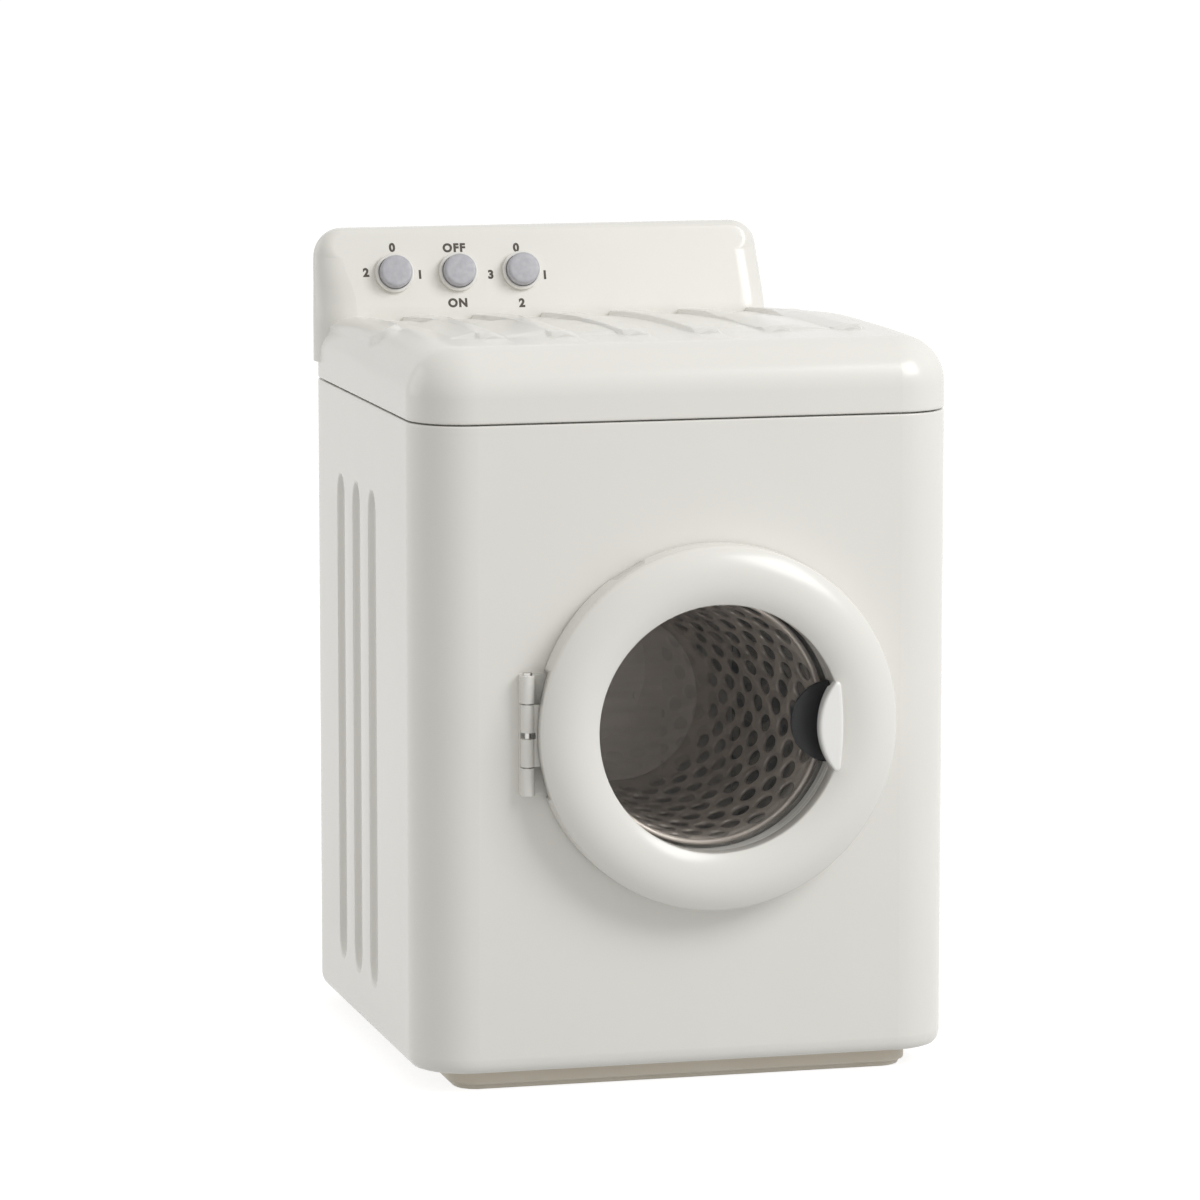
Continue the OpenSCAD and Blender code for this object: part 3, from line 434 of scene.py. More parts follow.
def lid_edge_radius(point, normal):
    """Radius of the lid's upper edge, which tightens backwards and is crisp behind."""
    along = smooth_step((point.y - front_y - LID_LESS_FROM) / LID_LESS_LEN)
    radius = LID_ROUND - LID_ROUND_LESS * along
    toward_back = degrees(asin(max(0, min(1, normal.y)))) / 90
    return radius + (LID_BACK_ROUND - radius) * smooth_step(toward_back)


rib_side = RIB_HALF + RIB_SOFT
lid_xs, lid_xs_end = between_corners(lid_low.x, lid_high.x, CORNER)
for rib_x in rib_xs:
    lid_xs = [x for x in lid_xs if x < rib_x - rib_side - RIM / 2]
    lid_xs += spread(rib_x - rib_side, rib_x - rib_side + 2 * RIB_SOFT, 5) + [rib_x]
    lid_xs += spread(rib_x + rib_side - 2 * RIB_SOFT, rib_x + rib_side, 5)
lid_xs = [lid_low.x + CORNER] + [x for x in lid_xs if x > lid_low.x + CORNER + RIM / 2]
lid_xs = [x for x in lid_xs if x < lid_high.x - CORNER - 2 * RIM] + lid_xs_end
lid_ys = [lid_low.y + CORNER, lid_low.y + CORNER + RIM]
lid_ys += spread(rib_start - RIB_SOFT, rib_start + RIB_TIP + RIB_SOFT, 16)
lid_ys += spread(rib_start + 9 * MM, rib_starts[0] - 2 * MM, 5)
lid_ys += spread(rib_starts[0], rib_starts[0] + RIB_TIP, 8)
lid_ys += spread(rib_starts[0] + 9 * MM, lid_high.y - CORNER - 3 * MM, 4)
lid_ys += [lid_high.y - CORNER - RIM, lid_high.y - CORNER]
lid_plan = plan_outline(lid_low, lid_high, CORNER, lid_xs, lid_ys)
# The grid over the top has its corners at the middles of the plan's round corners, and
# the plan starts with the one at the front left.
first = corner_middles(lid_plan)[-1]
lid_plan = lid_plan[first:] + lid_plan[:first]
lid_turns = corner_middles(lid_plan)


def lid_surface(mesh, inset, ribbed):
    """One skin of the lid: its top, and the rings down its round edge to the wall."""
    inner = [p - n * max(lid_edge_radius(p, n), inset) for p, n in lid_plan]

    def lift(p):
        return (p.x, p.y, lid_crown(p.y) - inset + (rib_height(p.x, p.y) if ribbed else 0))

    rings = [grid_cover(mesh, inner, lid_turns, lift)]
    for k in range(LID_ROUND_STEPS - 1, -1, -1):
        turn = pi / 2 * k / LID_ROUND_STEPS
        ring = []
        for (p, n), top in zip(lid_plan, inner):
            radius = max(lid_edge_radius(p, n) - inset, 0.1 * MM)
            flat = p - n * (inset + radius * (1 - cos(turn)))
            z = lid_crown(top.y) - inset - radius * (1 - sin(turn))
            out = rib_height(flat.x, flat.y) if ribbed else 0
            flat += n * out * cos(turn)
            ring.append(mesh.verts.new((flat.x, flat.y, z + out * sin(turn))))
        rings.append(ring)
    return rings


def moulded(name, mesh, place=Matrix.Identity(4)):
    """A closed shape in its place, with its faces outwards and its flat faces flat."""
    bmesh.ops.recalc_face_normals(mesh, faces=mesh.faces)
    bmesh.ops.transform(mesh, matrix=place, verts=mesh.verts)
    piece = as_object(name, mesh)
    even_shading(piece)
    return piece


lid_mesh = bmesh.new()
outer_rings = lid_surface(lid_mesh, 0, True)
inner_rings = lid_surface(lid_mesh, WALL, False)
lip_low = lid_low.z + 0.1 * MM
lip_inset = WALL + LIP_GAP
lid_profile = [
    (0, LID_SEAM_Z + 2 * RIM), (0, LID_SEAM_Z + RIM), (RIM * 0.3, LID_SEAM_Z + RIM * 0.3),
    (RIM, LID_SEAM_Z), (lip_inset, LID_SEAM_Z), (lip_inset, lip_low), (lip_inset + WALL, lip_low),
    (lip_inset + WALL, LID_SEAM_Z + 3 * MM), (WALL, LID_SEAM_Z + 3 * MM),
]
wall_rings = [
    [lid_mesh.verts.new((*(p - n * inset), z)) for p, n in lid_plan] for inset, z in lid_profile
]
lid_rings = outer_rings + wall_rings + inner_rings[::-1]
for ring_a, ring_b in zip(lid_rings, lid_rings[1:]):
    bridge(lid_mesh, ring_a, ring_b)
lid_skin = moulded("lid_skin", lid_mesh)
dress(lid_skin, cream_gloss, "cabinet", "shell_cream", "top_lid")

# ---- Console ----
# A hollow cream moulding that stands on the back of the lid. Its face leans back, its
# left end laps down over the lid and wraps round to the back, and its right end leans
# in. Two screws come up into it through the lid, and a plate closes it behind.
CONSOLE_WALL = 1.4 * MM
CONSOLE_LEAN = radians(18)
CONSOLE_FRONT = 83.2 * MM
CONSOLE_BEND = 1.2 * MM
BEND_DROP = 1.6 * MM
CONSOLE_END_ROUND = 5.2 * MM
CONSOLE_END_FLARE = 2.2 * MM
CONSOLE_FLARE_LEN = 8 * MM
CONSOLE_TOP_ROUND = 1.7 * MM
CONSOLE_FOOT_ROUND = 0.3 * MM
CONSOLE_CORNER = 5.8 * MM
CONSOLE_BACK_ROUND = 8 * MM
CONSOLE_END_LEAN = radians(5)
CONSOLE_TUCK = 20 * MM
WRAP_R = 11.9 * MM
CONSOLE_BASE_Z = 134.4 * MM
EAR_LEN = 8.6 * MM
EAR_FLAT = 7.9 * MM
EAR_STEP = 2.9 * MM
FOOT_GAP = 0.08 * MM
BACK_GAP = 0.03 * MM
ROUND_STEPS = 6

console_low, console_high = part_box("console_shell")
left_x, right_x, top_z = console_low.x, console_high.x, console_high.z


def face_y(z):
    """Depth position of the console's face, which leans back above a soft bend."""
    above = z - LID_TOP + BEND_DROP
    if abs(above) < CONSOLE_BEND:
        above = (above + CONSOLE_BEND) ** 2 / (4 * CONSOLE_BEND)
    return front_y + CONSOLE_FRONT + (max(0, above) - BEND_DROP) * tan(CONSOLE_LEAN)


def arc_fall(radius, along):
    """How far a quarter arc has fallen away at a distance along its tangent."""
    along = min(max(along, 0), radius)
    return radius - sqrt(radius ** 2 - along ** 2)


def tucked(flat, y, inset):
    """A point of the console's outline, moved in where its back is rounded."""
    side_in = arc_fall(WRAP_R - inset, y - console_high.y + CORNER)
    top_in = arc_fall(CONSOLE_BACK_ROUND - inset, y - console_high.y + CONSOLE_BACK_ROUND)
    side_share = (left_x + inset + CONSOLE_TUCK - flat.x) / CONSOLE_TUCK
    top_share = (flat.y - LID_TOP) / (top_z - inset - LID_TOP)
    x = flat.x + side_in * min(1, max(0, side_share))
    z = flat.y - top_in * min(1, max(0, top_share))
    if x > left_x + EAR_LEN + EAR_STEP - RIM:
        z = max(z, lid_crown(y) + FOOT_GAP + inset / 4)
    return x, y, z


def console_foot(x):
    """Height of the console's lower edge, which drops at the ear."""
    along = smooth_step((x - left_x - EAR_LEN) / EAR_STEP)
    return console_low.z + (CONSOLE_BASE_Z - console_low.z) * along


def console_corner(side, centre, turns):
    """The loop's entries round one of the console's upper corners."""
    entries = []
    for turn in turns:
        normal = Vector((side * cos(turn), sin(turn)))
        shrink = smooth_step(turn * 2 / pi) * (CONSOLE_END_ROUND - CONSOLE_TOP_ROUND)
        entries.append((centre + normal * CONSOLE_CORNER, normal, CONSOLE_END_ROUND - shrink))
    return entries


def end_rows(highest):
    """Heights of the points along one end of the console."""
    bend_z = LID_TOP - BEND_DROP
    rows = spread(CONSOLE_BASE_Z, bend_z - CONSOLE_BEND, 2)
    rows += spread(bend_z - CONSOLE_BEND / 2, bend_z + CONSOLE_BEND, 3)
    return rows + [LID_TOP] + spread(LID_TOP + 2 * MM, highest, 3)


def left_round(z):
    """Radius of the left end's front edge, which widens below the corner."""
    return CONSOLE_END_ROUND + CONSOLE_END_FLARE * smooth_step((centre_z - z) / CONSOLE_FLARE_LEN)


centre_z = top_z - CONSOLE_CORNER
lean_in = CONSOLE_CORNER + (centre_z - LID_TOP) * sin(CONSOLE_END_LEAN)
lean_in /= cos(CONSOLE_END_LEAN)
left_centre = Vector((left_x + CONSOLE_CORNER, centre_z))
right_centre = Vector((right_x - lean_in, centre_z))
foot_xs = [left_x + EAR_FLAT, left_x + EAR_LEN]
foot_xs += spread(left_x + EAR_LEN + EAR_STEP / 4, left_x + EAR_LEN + EAR_STEP, 3)
foot_xs += spread(left_x + 20 * MM, right_x - 7 * MM, 10)
crest_xs = spread(left_centre.x, right_centre.x, len(foot_xs) - 11)
left_turns = [radians(7.5 * k) for k in range(1, 12)]
right_turns = spread(CONSOLE_END_LEAN, pi / 2, 12)[1:-1]
left_zs = end_rows(centre_z)
right_zs = end_rows(centre_z + CONSOLE_CORNER * sin(CONSOLE_END_LEAN))
left_end = Vector((-1, 0))
leaning = Vector((cos(CONSOLE_END_LEAN), sin(CONSOLE_END_LEAN)))
# Each entry is (edge point, outward normal, radius of the front edge). They run
# anticlockwise from the lower left corner, as the console is seen from the front.
console_loop = [(Vector((left_x, console_low.z)), left_end, left_round(console_low.z))]
console_loop += [
    (Vector((x, console_foot(x))), Vector((0, -1)), CONSOLE_FOOT_ROUND) for x in foot_xs
]
for z in right_zs:
    above = max(0, z - LID_TOP)
    edge = Vector((right_x - above * tan(CONSOLE_END_LEAN), z))
    console_loop.append((edge, leaning if above else Vector((1, 0)), CONSOLE_END_ROUND))
console_loop += console_corner(1, right_centre, right_turns)
console_loop += [
    (Vector((x, top_z)), Vector((0, 1)), CONSOLE_TOP_ROUND) for x in reversed(crest_xs)
]
console_loop += console_corner(-1, left_centre, left_turns[::-1])
console_loop += [(Vector((left_x, z)), left_end, left_round(z)) for z in left_zs[:0:-1]]
right_foot = 1 + len(foot_xs)
right_turn = right_foot + len(right_zs) + len(right_turns) // 2
left_turn = right_turn + len(right_turns) + len(crest_xs)
console_turns = (0, right_foot, right_turn, left_turn)
console_back_y = console_high.y - BACK_GAP
back_shares = [0.04] + [sin(radians(9 * k)) for k in range(1, 11)]


def console_surface(mesh, inset):
    """One skin of the console: its face, its rounded edges, and its ends and top as far
    as the opening behind."""
    entries = []
    for point, normal, radius in console_loop:
        lean = atan(max(0, normal.y) * tan(CONSOLE_LEAN))
        entries.append((point - normal * inset, normal, max(radius - inset, 0.1 * MM), lean))
    inner = [p - n * r * (1 - sin(lean)) for p, n, r, lean in entries]
    rings = [grid_cover(mesh, inner, console_turns, lambda p: (p.x, face_y(p.y) + inset, p.y))]
    columns = []
    for (p, n, r, lean), start in zip(entries, inner):
        column = []
        for k in range(1, ROUND_STEPS + 1):
            turn = lean + (pi / 2 - lean) * k / ROUND_STEPS
            y = face_y(start.y) + inset + r * (cos(lean) - cos(turn))
            column.append((p - n * r * (1 - sin(turn)), y))
        edge_y = column[-1][1]
        column += [(p, edge_y + (console_back_y - edge_y) * share) for share in back_shares]
        columns.append(column)
    for row in zip(*columns):
        rings.append([mesh.verts.new(tucked(flat, y, inset)) for flat, y in row])
    return rings


console_mesh = bmesh.new()
front_rings = console_surface(console_mesh, 0)
hollow_rings = console_surface(console_mesh, CONSOLE_WALL)
console_rings = front_rings + hollow_rings[::-1]
for ring_a, ring_b in zip(console_rings, console_rings[1:]):
    bridge(console_mesh, ring_a, ring_b)
bmesh.ops.recalc_face_normals(console_mesh, faces=console_mesh.faces)
for edge in console_mesh.edges:
    edge.smooth = edge.calc_face_angle(0) < 1
console_skin = as_object("console_skin", console_mesh)
even_shading(console_skin)
dress(console_skin, cream_gloss, "cabinet", "shell_cream", "console_shell")

# ---- Printed marks ----
# The dials' numbers and the two words beside the middle knob are pad-printed on
# the console's face in dark brown-grey ink.
PRINT_SIZE = 2.3 * MM
PRINT_T = 0.02 * MM
PRINT_BOLD = 0.12 * MM
PRINT_SPACING = 1.2
MARKS = (
    ("0", -37.4, 151.6), ("2", -43.0, 146.9), ("1", -32.15, 146.3), ("OFF", -24.9, 151.3),
    ("ON", -24.9, 140.7), ("0", -12.25, 151.1), ("3", -17.8, 146.0), ("1", -6.8, 145.7),
    ("2", -11.9, 140.4),
)


def on_console(x, z):
    """Places things on the console's face, with their z outwards and their y up it."""
    place = Matrix.Translation((mid_x + x, face_y(z), z))
    return place @ Matrix.Rotation(pi / 2 - CONSOLE_LEAN, 4, "X")


print_mesh = bmesh.new()
for text, x, z in MARKS:
    letters = bpy.data.curves.new("letters", "FONT")
    letters.body = text
    letters.size = PRINT_SIZE
    letters.extrude = PRINT_T
    letters.offset = PRINT_BOLD
    letters.space_character = PRINT_SPACING
    letters.align_x = "CENTER"
    letters.align_y = "CENTER"
    mark = add_to_scene("mark", letters)
    graph = bpy.context.evaluated_depsgraph_get()
    outline = bpy.data.meshes.new_from_object(mark.evaluated_get(graph))
    outline.transform(on_console(x * MM, z * MM))
    print_mesh.from_mesh(outline)
    bpy.data.objects.remove(mark)
bmesh.ops.remove_doubles(print_mesh, verts=print_mesh.verts, dist=0.001 * MM)
console_print = as_object("console_print", print_mesh)
for face in console_print.data.polygons:
    face.use_smooth = False
ink = finish("ink", 0.5, (0.05, 0.037, 0.028), (0.075, 0.06, 0.047), 900, 0.01)
dress(console_print, ink, "cabinet", "shell_cream")

# ---- Knobs ----
# Three small round caps in pale grey plastic with a pearly swirl, each inside a
# thin cream ring that is seated on the console. Their stems run through the face
# and are held behind it by spring clips.
KNOB_XS = (-37.4, -24.5, -11.6)
KNOB_Z = 146.6 * MM
KNOB_R = 3.2 * MM
KNOB_OUT = 3.2 * MM
KNOB_EDGE = 0.55 * MM
BEZEL_R = 3.3 * MM
BEZEL_W = 0.6 * MM
BEZEL_OUT = 1.2 * MM
STEM_R = 1.3 * MM
STEM_IN = 3.4 * MM


def rounded(corners, steps=5):
    """Rounds the corners of a profile, each given as (across, up, radius)."""
    points = []
    for k, (across, up, radius) in enumerate(corners):
        here = Vector((across, up))
        if radius == 0:
            points.append(here)
            continue
        before = (Vector(corners[k - 1][:2]) - here).normalized()
        after = (Vector(corners[(k + 1) % len(corners)][:2]) - here).normalized()
        half = before.angle(after) / 2
        centre = here + (before + after).normalized() * radius / sin(half)
        start = (here + before * radius / tan(half) - centre) / radius
        end = (here + after * radius / tan(half) - centre) / radius
        for j in range(steps + 1):
            points.append(centre + start.lerp(end, j / steps).normalized() * radius)
    return points


def lathe(name, profile, place, steps=96):
    """Turns a profile of (radius, height) about an axis. It runs from axis to axis, or
    closes on itself."""
    mesh = bmesh.new()
    rings = []
    for radius, height in profile:
        turns = [2 * pi * k / steps for k in range(steps if radius > 1e-7 else 1)]
        rings.append([
            mesh.verts.new((radius * cos(t), radius * sin(t), height)) for t in turns
        ])
    pairs = list(zip(rings, rings[1:]))
    if len(rings[0]) > 1:
        pairs.append((rings[-1], rings[0]))
    for ring_a, ring_b in pairs:
        if len(ring_a) > 1 and len(ring_b) > 1:
            bridge(mesh, ring_a, ring_b)
            continue
        pole, ring = (ring_a, ring_b) if len(ring_a) == 1 else (ring_b, ring_a)
        for k in range(steps):
            mesh.faces.new((pole[0], ring[k], ring[(k + 1) % steps]))
    return moulded(name, mesh, place)


knob_profile = rounded((
    (0, KNOB_OUT, 0), (KNOB_R, KNOB_OUT, KNOB_EDGE), (KNOB_R, 0.1 * MM, 0.1 * MM),
    (STEM_R, 0.1 * MM, 0), (STEM_R, -STEM_IN, 0.2 * MM), (0, -STEM_IN, 0),
))
bezel_profile = rounded((
    (BEZEL_R, -RIM, 0), (BEZEL_R, BEZEL_OUT, 0.15 * MM),
    (BEZEL_R + BEZEL_W, BEZEL_OUT, 0.25 * MM), (BEZEL_R + BEZEL_W, -RIM, 0),
))
pearl_grey = finish("pearl_grey", 0.32, (0.36, 0.36, 0.4), (0.58, 0.58, 0.62), 900, 0.05)
for side, knob_x in zip(("left", "middle", "right"), KNOB_XS):
    spot = on_console(knob_x * MM, KNOB_Z)
    cap = lathe("knob_cap_" + side, knob_profile, spot)
    dress(cap, pearl_grey, side + "_knob", "knob_grey", "knob_" + side)
    bezel = lathe("bezel_ring_" + side, bezel_profile, spot)
    dress(bezel, cream_gloss, "cabinet", "shell_cream", "bezel_" + side)

# ---- Door ring ----
# A cream moulding, round in section towards the front. Behind, it has seats for the
# glass and its retainer, a flat pocket for the hinge leaf, and a shallow notch in
# the rear edge at the upper left.
RING_R = 34.4 * MM
APERTURE_R = 23.4 * MM
DOOR_GAP = 0.4 * MM
RING_MID = 28.4 * MM
RING_ROUND = 8.7 * MM
RING_SUNK = -0.3 * MM
RING_OUTER_EDGE = 1.2 * MM
RING_INNER_EDGE = 0.5 * MM
GLASS_R = 25.6 * MM
GLASS_FRONT = 3.4 * MM
GLASS_BACK = 2.2 * MM
RETAINER_R = 28.4 * MM
SEAT_GAP = 0.1 * MM
NOTCH_TURN = radians(119.5)
NOTCH_LEN = 6.6 * MM
NOTCH_IN = 0.4 * MM
NOTCH_HIGH = 1.7 * MM
POCKET_LOW = Vector((-32.2, -3.0, 56.4)) * MM
POCKET_HIGH = Vector((-24.9, 1.0, 80.0)) * MM

door_place = Matrix.Translation((door_mid.x, front_y, door_mid.z))
door_place = door_place @ Matrix.Rotation(pi / 2, 4, "X")
origin_shift = Vector((mid_x, front_y, 0))


def arc_points(across, up, radius, start, end, steps):
    """Points along an arc of a profile, both ends included."""
    turns = spread(start, end, steps)
    return [Vector((across + radius * cos(t), up + radius * sin(t))) for t in turns]


def ring_edge(wall, edge):
    """Centre and turn of the small rounding where the ring's round front meets a wall."""
    centre_r = wall - copysign(edge, wall - RING_MID)
    reach = RING_ROUND - edge
    centre_h = RING_SUNK + sqrt(reach ** 2 - (centre_r - RING_MID) ** 2)
    return centre_r, centre_h, atan2(centre_h - RING_SUNK, centre_r - RING_MID)


inner_r, inner_h, inner_turn = ring_edge(APERTURE_R, RING_INNER_EDGE)
outer_r, outer_h, outer_turn = ring_edge(RING_R, RING_OUTER_EDGE)
ring_profile = [Vector((APERTURE_R, GLASS_FRONT))]
ring_profile += arc_points(inner_r, inner_h, RING_INNER_EDGE, pi, inner_turn, 5)
ring_profile += arc_points(RING_MID, RING_SUNK, RING_ROUND, inner_turn, outer_turn, 18)[1:-1]
ring_profile += arc_points(outer_r, outer_h, RING_OUTER_EDGE, outer_turn, 0, 6)
ring_profile += rounded((
    (RING_R, outer_h - RIM, 0), (RING_R, DOOR_GAP, 0.35 * MM),
    (RETAINER_R + SEAT_GAP, DOOR_GAP, 0.1 * MM),
    (RETAINER_R + SEAT_GAP, GLASS_BACK + SEAT_GAP, 0),
    (GLASS_R + SEAT_GAP, GLASS_BACK + SEAT_GAP, 0), (GLASS_R + SEAT_GAP, GLASS_FRONT, 0),
))
ring_skin = lathe("door_ring_skin", ring_profile, door_place, 192)
notch = block(
    "notch", (RING_R - NOTCH_IN, -NOTCH_LEN / 2, 0), (RING_R + 2 * MM, NOTCH_LEN / 2, NOTCH_HIGH)
)
notch.data.transform(door_place @ Matrix.Rotation(NOTCH_TURN, 4, "Z"))
pocket = block("pocket", POCKET_LOW + origin_shift, POCKET_HIGH + origin_shift)
cut_away(ring_skin, [notch, pocket])
even_shading(ring_skin)
dress(ring_skin, cream_gloss, "door", "shell_cream", "door_ring")

# ---- Glass ----
# A flat disc of clear plastic, seated in the ring from behind and held there by a
# screwed retainer.
PANE_GAP = 0.02 * MM
PANE_EDGE = 0.12 * MM
SEEN_THROUGH = 0.8

pane_front, pane_back = GLASS_FRONT - PANE_GAP, GLASS_BACK + PANE_GAP
glass_pane = lathe("glass_pane", rounded((
    (0, pane_front, 0), (GLASS_R, pane_front, PANE_EDGE), (GLASS_R, pane_back, PANE_EDGE),
    (0, pane_back, 0),
), 3), door_place, 128)
clear_plastic = finish("clear_plastic", 0.03, (0.9, 0.93, 0.93), (0.97, 0.98, 0.98), 40, 0.002)
clear_tree = clear_plastic.node_tree
clear_shader = clear_tree.nodes["Principled BSDF"]
clear_shader.inputs["Transmission Weight"].default_value = 1
clear_shader.inputs["IOR"].default_value = 1.45
see_through = clear_tree.nodes.new("ShaderNodeBsdfTransparent")
clear_mix = clear_tree.nodes.new("ShaderNodeMixShader")
clear_mix.inputs["Fac"].default_value = SEEN_THROUGH
clear_tree.links.new(clear_shader.outputs["BSDF"], clear_mix.inputs[1])
clear_tree.links.new(see_through.outputs["BSDF"], clear_mix.inputs[2])
clear_out = clear_tree.nodes["Material Output"]
clear_tree.links.new(clear_mix.outputs["Shader"], clear_out.inputs["Surface"])
dress(glass_pane, clear_plastic, "door", "window_clear", "door_glass")

# ---- Handle ----
# A lens-shaped grip in the whitest plastic on the door. It stands on a narrower foot
# on the glass, overlaps the ring's inner edge, and is held by two screws through the
# glass from a black pad behind.
HANDLE_X = 26.3 * MM
HANDLE_LEN = 17 * MM
HANDLE_BULGE = 4 * MM
HANDLE_BACK_BULGE = 0.7 * MM
HANDLE_TIP_R = 0.7 * MM
HANDLE_LOW = 6.9 * MM
HANDLE_OUT = 9.2 * MM
HANDLE_IN = 3.9 * MM
HANDLE_EDGE = 0.6 * MM
HANDLE_SOFT = 0.25 * MM
STAND_SHORT = 3 * MM
STAND_IN = 1.2 * MM


def lens_outline(length, left, right, steps=24):
    """Outline of two arcs that bulge to the left and the right and meet in round tips."""
    half = length / 2
    left_r = (half ** 2 + left ** 2) / (2 * left)
    right_r = (half ** 2 + right ** 2) / (2 * right)
    left_mid, right_mid = left_r - left, right - right_r
    left_in, right_in = left_r - HANDLE_TIP_R, right_r - HANDLE_TIP_R
    tip_x = left_in ** 2 - right_in ** 2 - left_mid ** 2 + right_mid ** 2
    tip_x /= 2 * (right_mid - left_mid)
    tip_up = sqrt(left_in ** 2 - (tip_x - left_mid) ** 2)
    right_turn = atan2(tip_up, tip_x - right_mid)
    left_turn = pi - atan2(tip_up, left_mid - tip_x)
    points = arc_points(right_mid, 0, right_r, -right_turn, right_turn, steps)
    points += arc_points(tip_x, tip_up, HANDLE_TIP_R, right_turn, left_turn, 8)[1:-1]
    points += arc_points(left_mid, 0, left_r, left_turn, 2 * pi - left_turn, steps)
    points += arc_points(
        tip_x, -tip_up, HANDLE_TIP_R, 2 * pi - left_turn, 2 * pi - right_turn, 8
    )[1:-1]
    stretch = half / max(p.y for p in points)
    return [Vector((p.x, p.y * stretch)) for p in points]


def lens_stack(mesh, outline, levels):
    """A body over a lens outline, from levels of (inset, height), closed at both ends."""
    wide = max(p.x for p in outline) - min(p.x for p in outline)
    tall = max(p.y for p in outline) - min(p.y for p in outline)
    mid = (max(p.x for p in outline) + min(p.x for p in outline)) / 2
    rings = []
    for inset, height in levels:
        thin, short = 1 - 2 * inset / wide, 1 - 2 * inset / tall
        rings.append([
            mesh.verts.new((mid + (p.x - mid) * thin, p.y * short, height)) for p in outline
        ])
    for ring_a, ring_b in zip(rings, rings[1:]):
        bridge(mesh, ring_a, ring_b)
    mesh.faces.new(rings[0])
    mesh.faces.new(rings[-1])


handle_mesh = bmesh.new()
grip_levels = [(HANDLE_SOFT, HANDLE_LOW), (0, HANDLE_LOW + HANDLE_SOFT)]
grip_levels += [(0, HANDLE_OUT - HANDLE_EDGE - 0.1 * MM)]
grip_levels += [
    (HANDLE_EDGE * (1 - cos(a)), HANDLE_OUT - HANDLE_EDGE * (1 - sin(a))) for a in quarter
]
grip_levels += [(1.2 * MM, HANDLE_OUT), (2 * MM, HANDLE_OUT)]
lens_stack(handle_mesh, lens_outline(HANDLE_LEN, HANDLE_BULGE, HANDLE_BACK_BULGE), grip_levels)
stand = lens_outline(HANDLE_LEN - STAND_SHORT, HANDLE_BULGE - STAND_IN, HANDLE_BACK_BULGE)
lens_stack(handle_mesh, stand, [
    (0, GLASS_FRONT), (0, GLASS_FRONT + RIM), (0, HANDLE_LOW), (0.1 * MM, HANDLE_LOW + RIM),
])
handle_place = door_place @ Matrix.Translation((HANDLE_X - HANDLE_IN, 0, 0))
handle_skin = moulded("handle_skin", handle_mesh, handle_place)
white_gloss = finish("white_gloss", 0.2, (0.88, 0.88, 0.87), (0.92, 0.92, 0.91), 80, 0.02)
dress(handle_skin, white_gloss, "door", "shell_cream", "door_handle")

# ---- Softened mouldings ----
# Plain moulded pieces keep their CAD shape and get the small roundings that a mould
# leaves: hinge leaves with their knuckles, collar, retainer, pad, floor pan, plinth,
# back cover and the plate behind the console.


def merged_copy(node):
    """A CAD node's mesh with its triangles joined."""
    mesh = bmesh.new()
    mesh.from_mesh(nodes[node].data)
    bmesh.ops.remove_doubles(mesh, verts=mesh.verts, dist=0.002 * MM)
    return mesh


def softened(name, node, width):
    """A copy of a CAD node with its edges rounded by a small width."""
    mesh = merged_copy(node)
    bmesh.ops.dissolve_limit(mesh, angle_limit=radians(1), verts=mesh.verts, edges=mesh.edges)
    sharp = [e for e in mesh.edges if e.is_manifold and e.calc_face_angle() > radians(40)]
    bmesh.ops.bevel(
        mesh, geom=sharp, offset=width, segments=2, affect="EDGES", profile=0.5,
        clamp_overlap=False,
    )
    return moulded(name, mesh)


beige = finish("beige", 0.45, (0.72, 0.66, 0.56), (0.78, 0.73, 0.64), 90, 0.02)
pad_foam = finish("pad_foam", 0.8, (0.008, 0.008, 0.009), (0.02, 0.02, 0.022), 1500, 0.1)
for name, node, width, material, slot in (
    ("cabinet_hinge", "cabinet_hinge_leaf", 0.12, cream_gloss, "shell_cream"),
    ("door_hinge", "door_hinge_leaf", 0.12, cream_gloss, "shell_cream"),
    ("collar_moulding", "opening_collar", 0.15, cream_gloss, "shell_cream"),
    ("retainer_moulding", "glass_retainer", 0.15, cream_gloss, "shell_cream"),
    ("handle_pad", "handle_backing", 0.1, pad_foam, "pad_black"),
    ("floor_pan", "base_pan", 0.2, beige, "base_beige"),
    ("plinth_moulding", "plinth", 0.4, beige, "base_beige"),
    ("cover_plate", "back_cover", 0.25, cream_gloss, "shell_cream"),
    ("console_plate", "console_back", 0.2, cream_gloss, "shell_cream"),
):
    piece = softened(name, node, width * MM)
    dress(piece, material, nodes[node]["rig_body"], slot, node)

# ---- Drum ----
# A tapered basket of thin steel sheet with staggered rows of punched holes, rolled
# at the mouth and riveted to a plate with a spindle behind. The sheet is laid out flat
# from pierced and blank tiles, and wrapped on its cone.
DRUM_MID = Vector((3.9, 6.2, 68.6)) * MM
DRUM_TILT = radians(5)
DRUM_FRONT_R = 23.6 * MM
DRUM_BACK_R = 17.5 * MM
DRUM_LEN = 66 * MM
DRUM_T = 0.6 * MM
SHEET_LESS = 0.05 * MM
HOLE_ROWS = 36
HOLES_ALONG = 6
HOLE_PITCH = 9.4 * MM
HOLE_MARGIN = 4.7 * MM
HOLE_HALF_LEN = 2.9 * MM
HOLE_SHARE = 0.5
RIM_SHARE = 1.16
DIMPLE = 0.12 * MM
ROW_W = 2 * pi * DRUM_FRONT_R / HOLE_ROWS
TILE_STEPS = 4

drum_place = Matrix.Translation(origin_shift + DRUM_MID)
drum_place = drum_place @ Matrix.Rotation(-pi / 2 - DRUM_TILT, 4, "X")


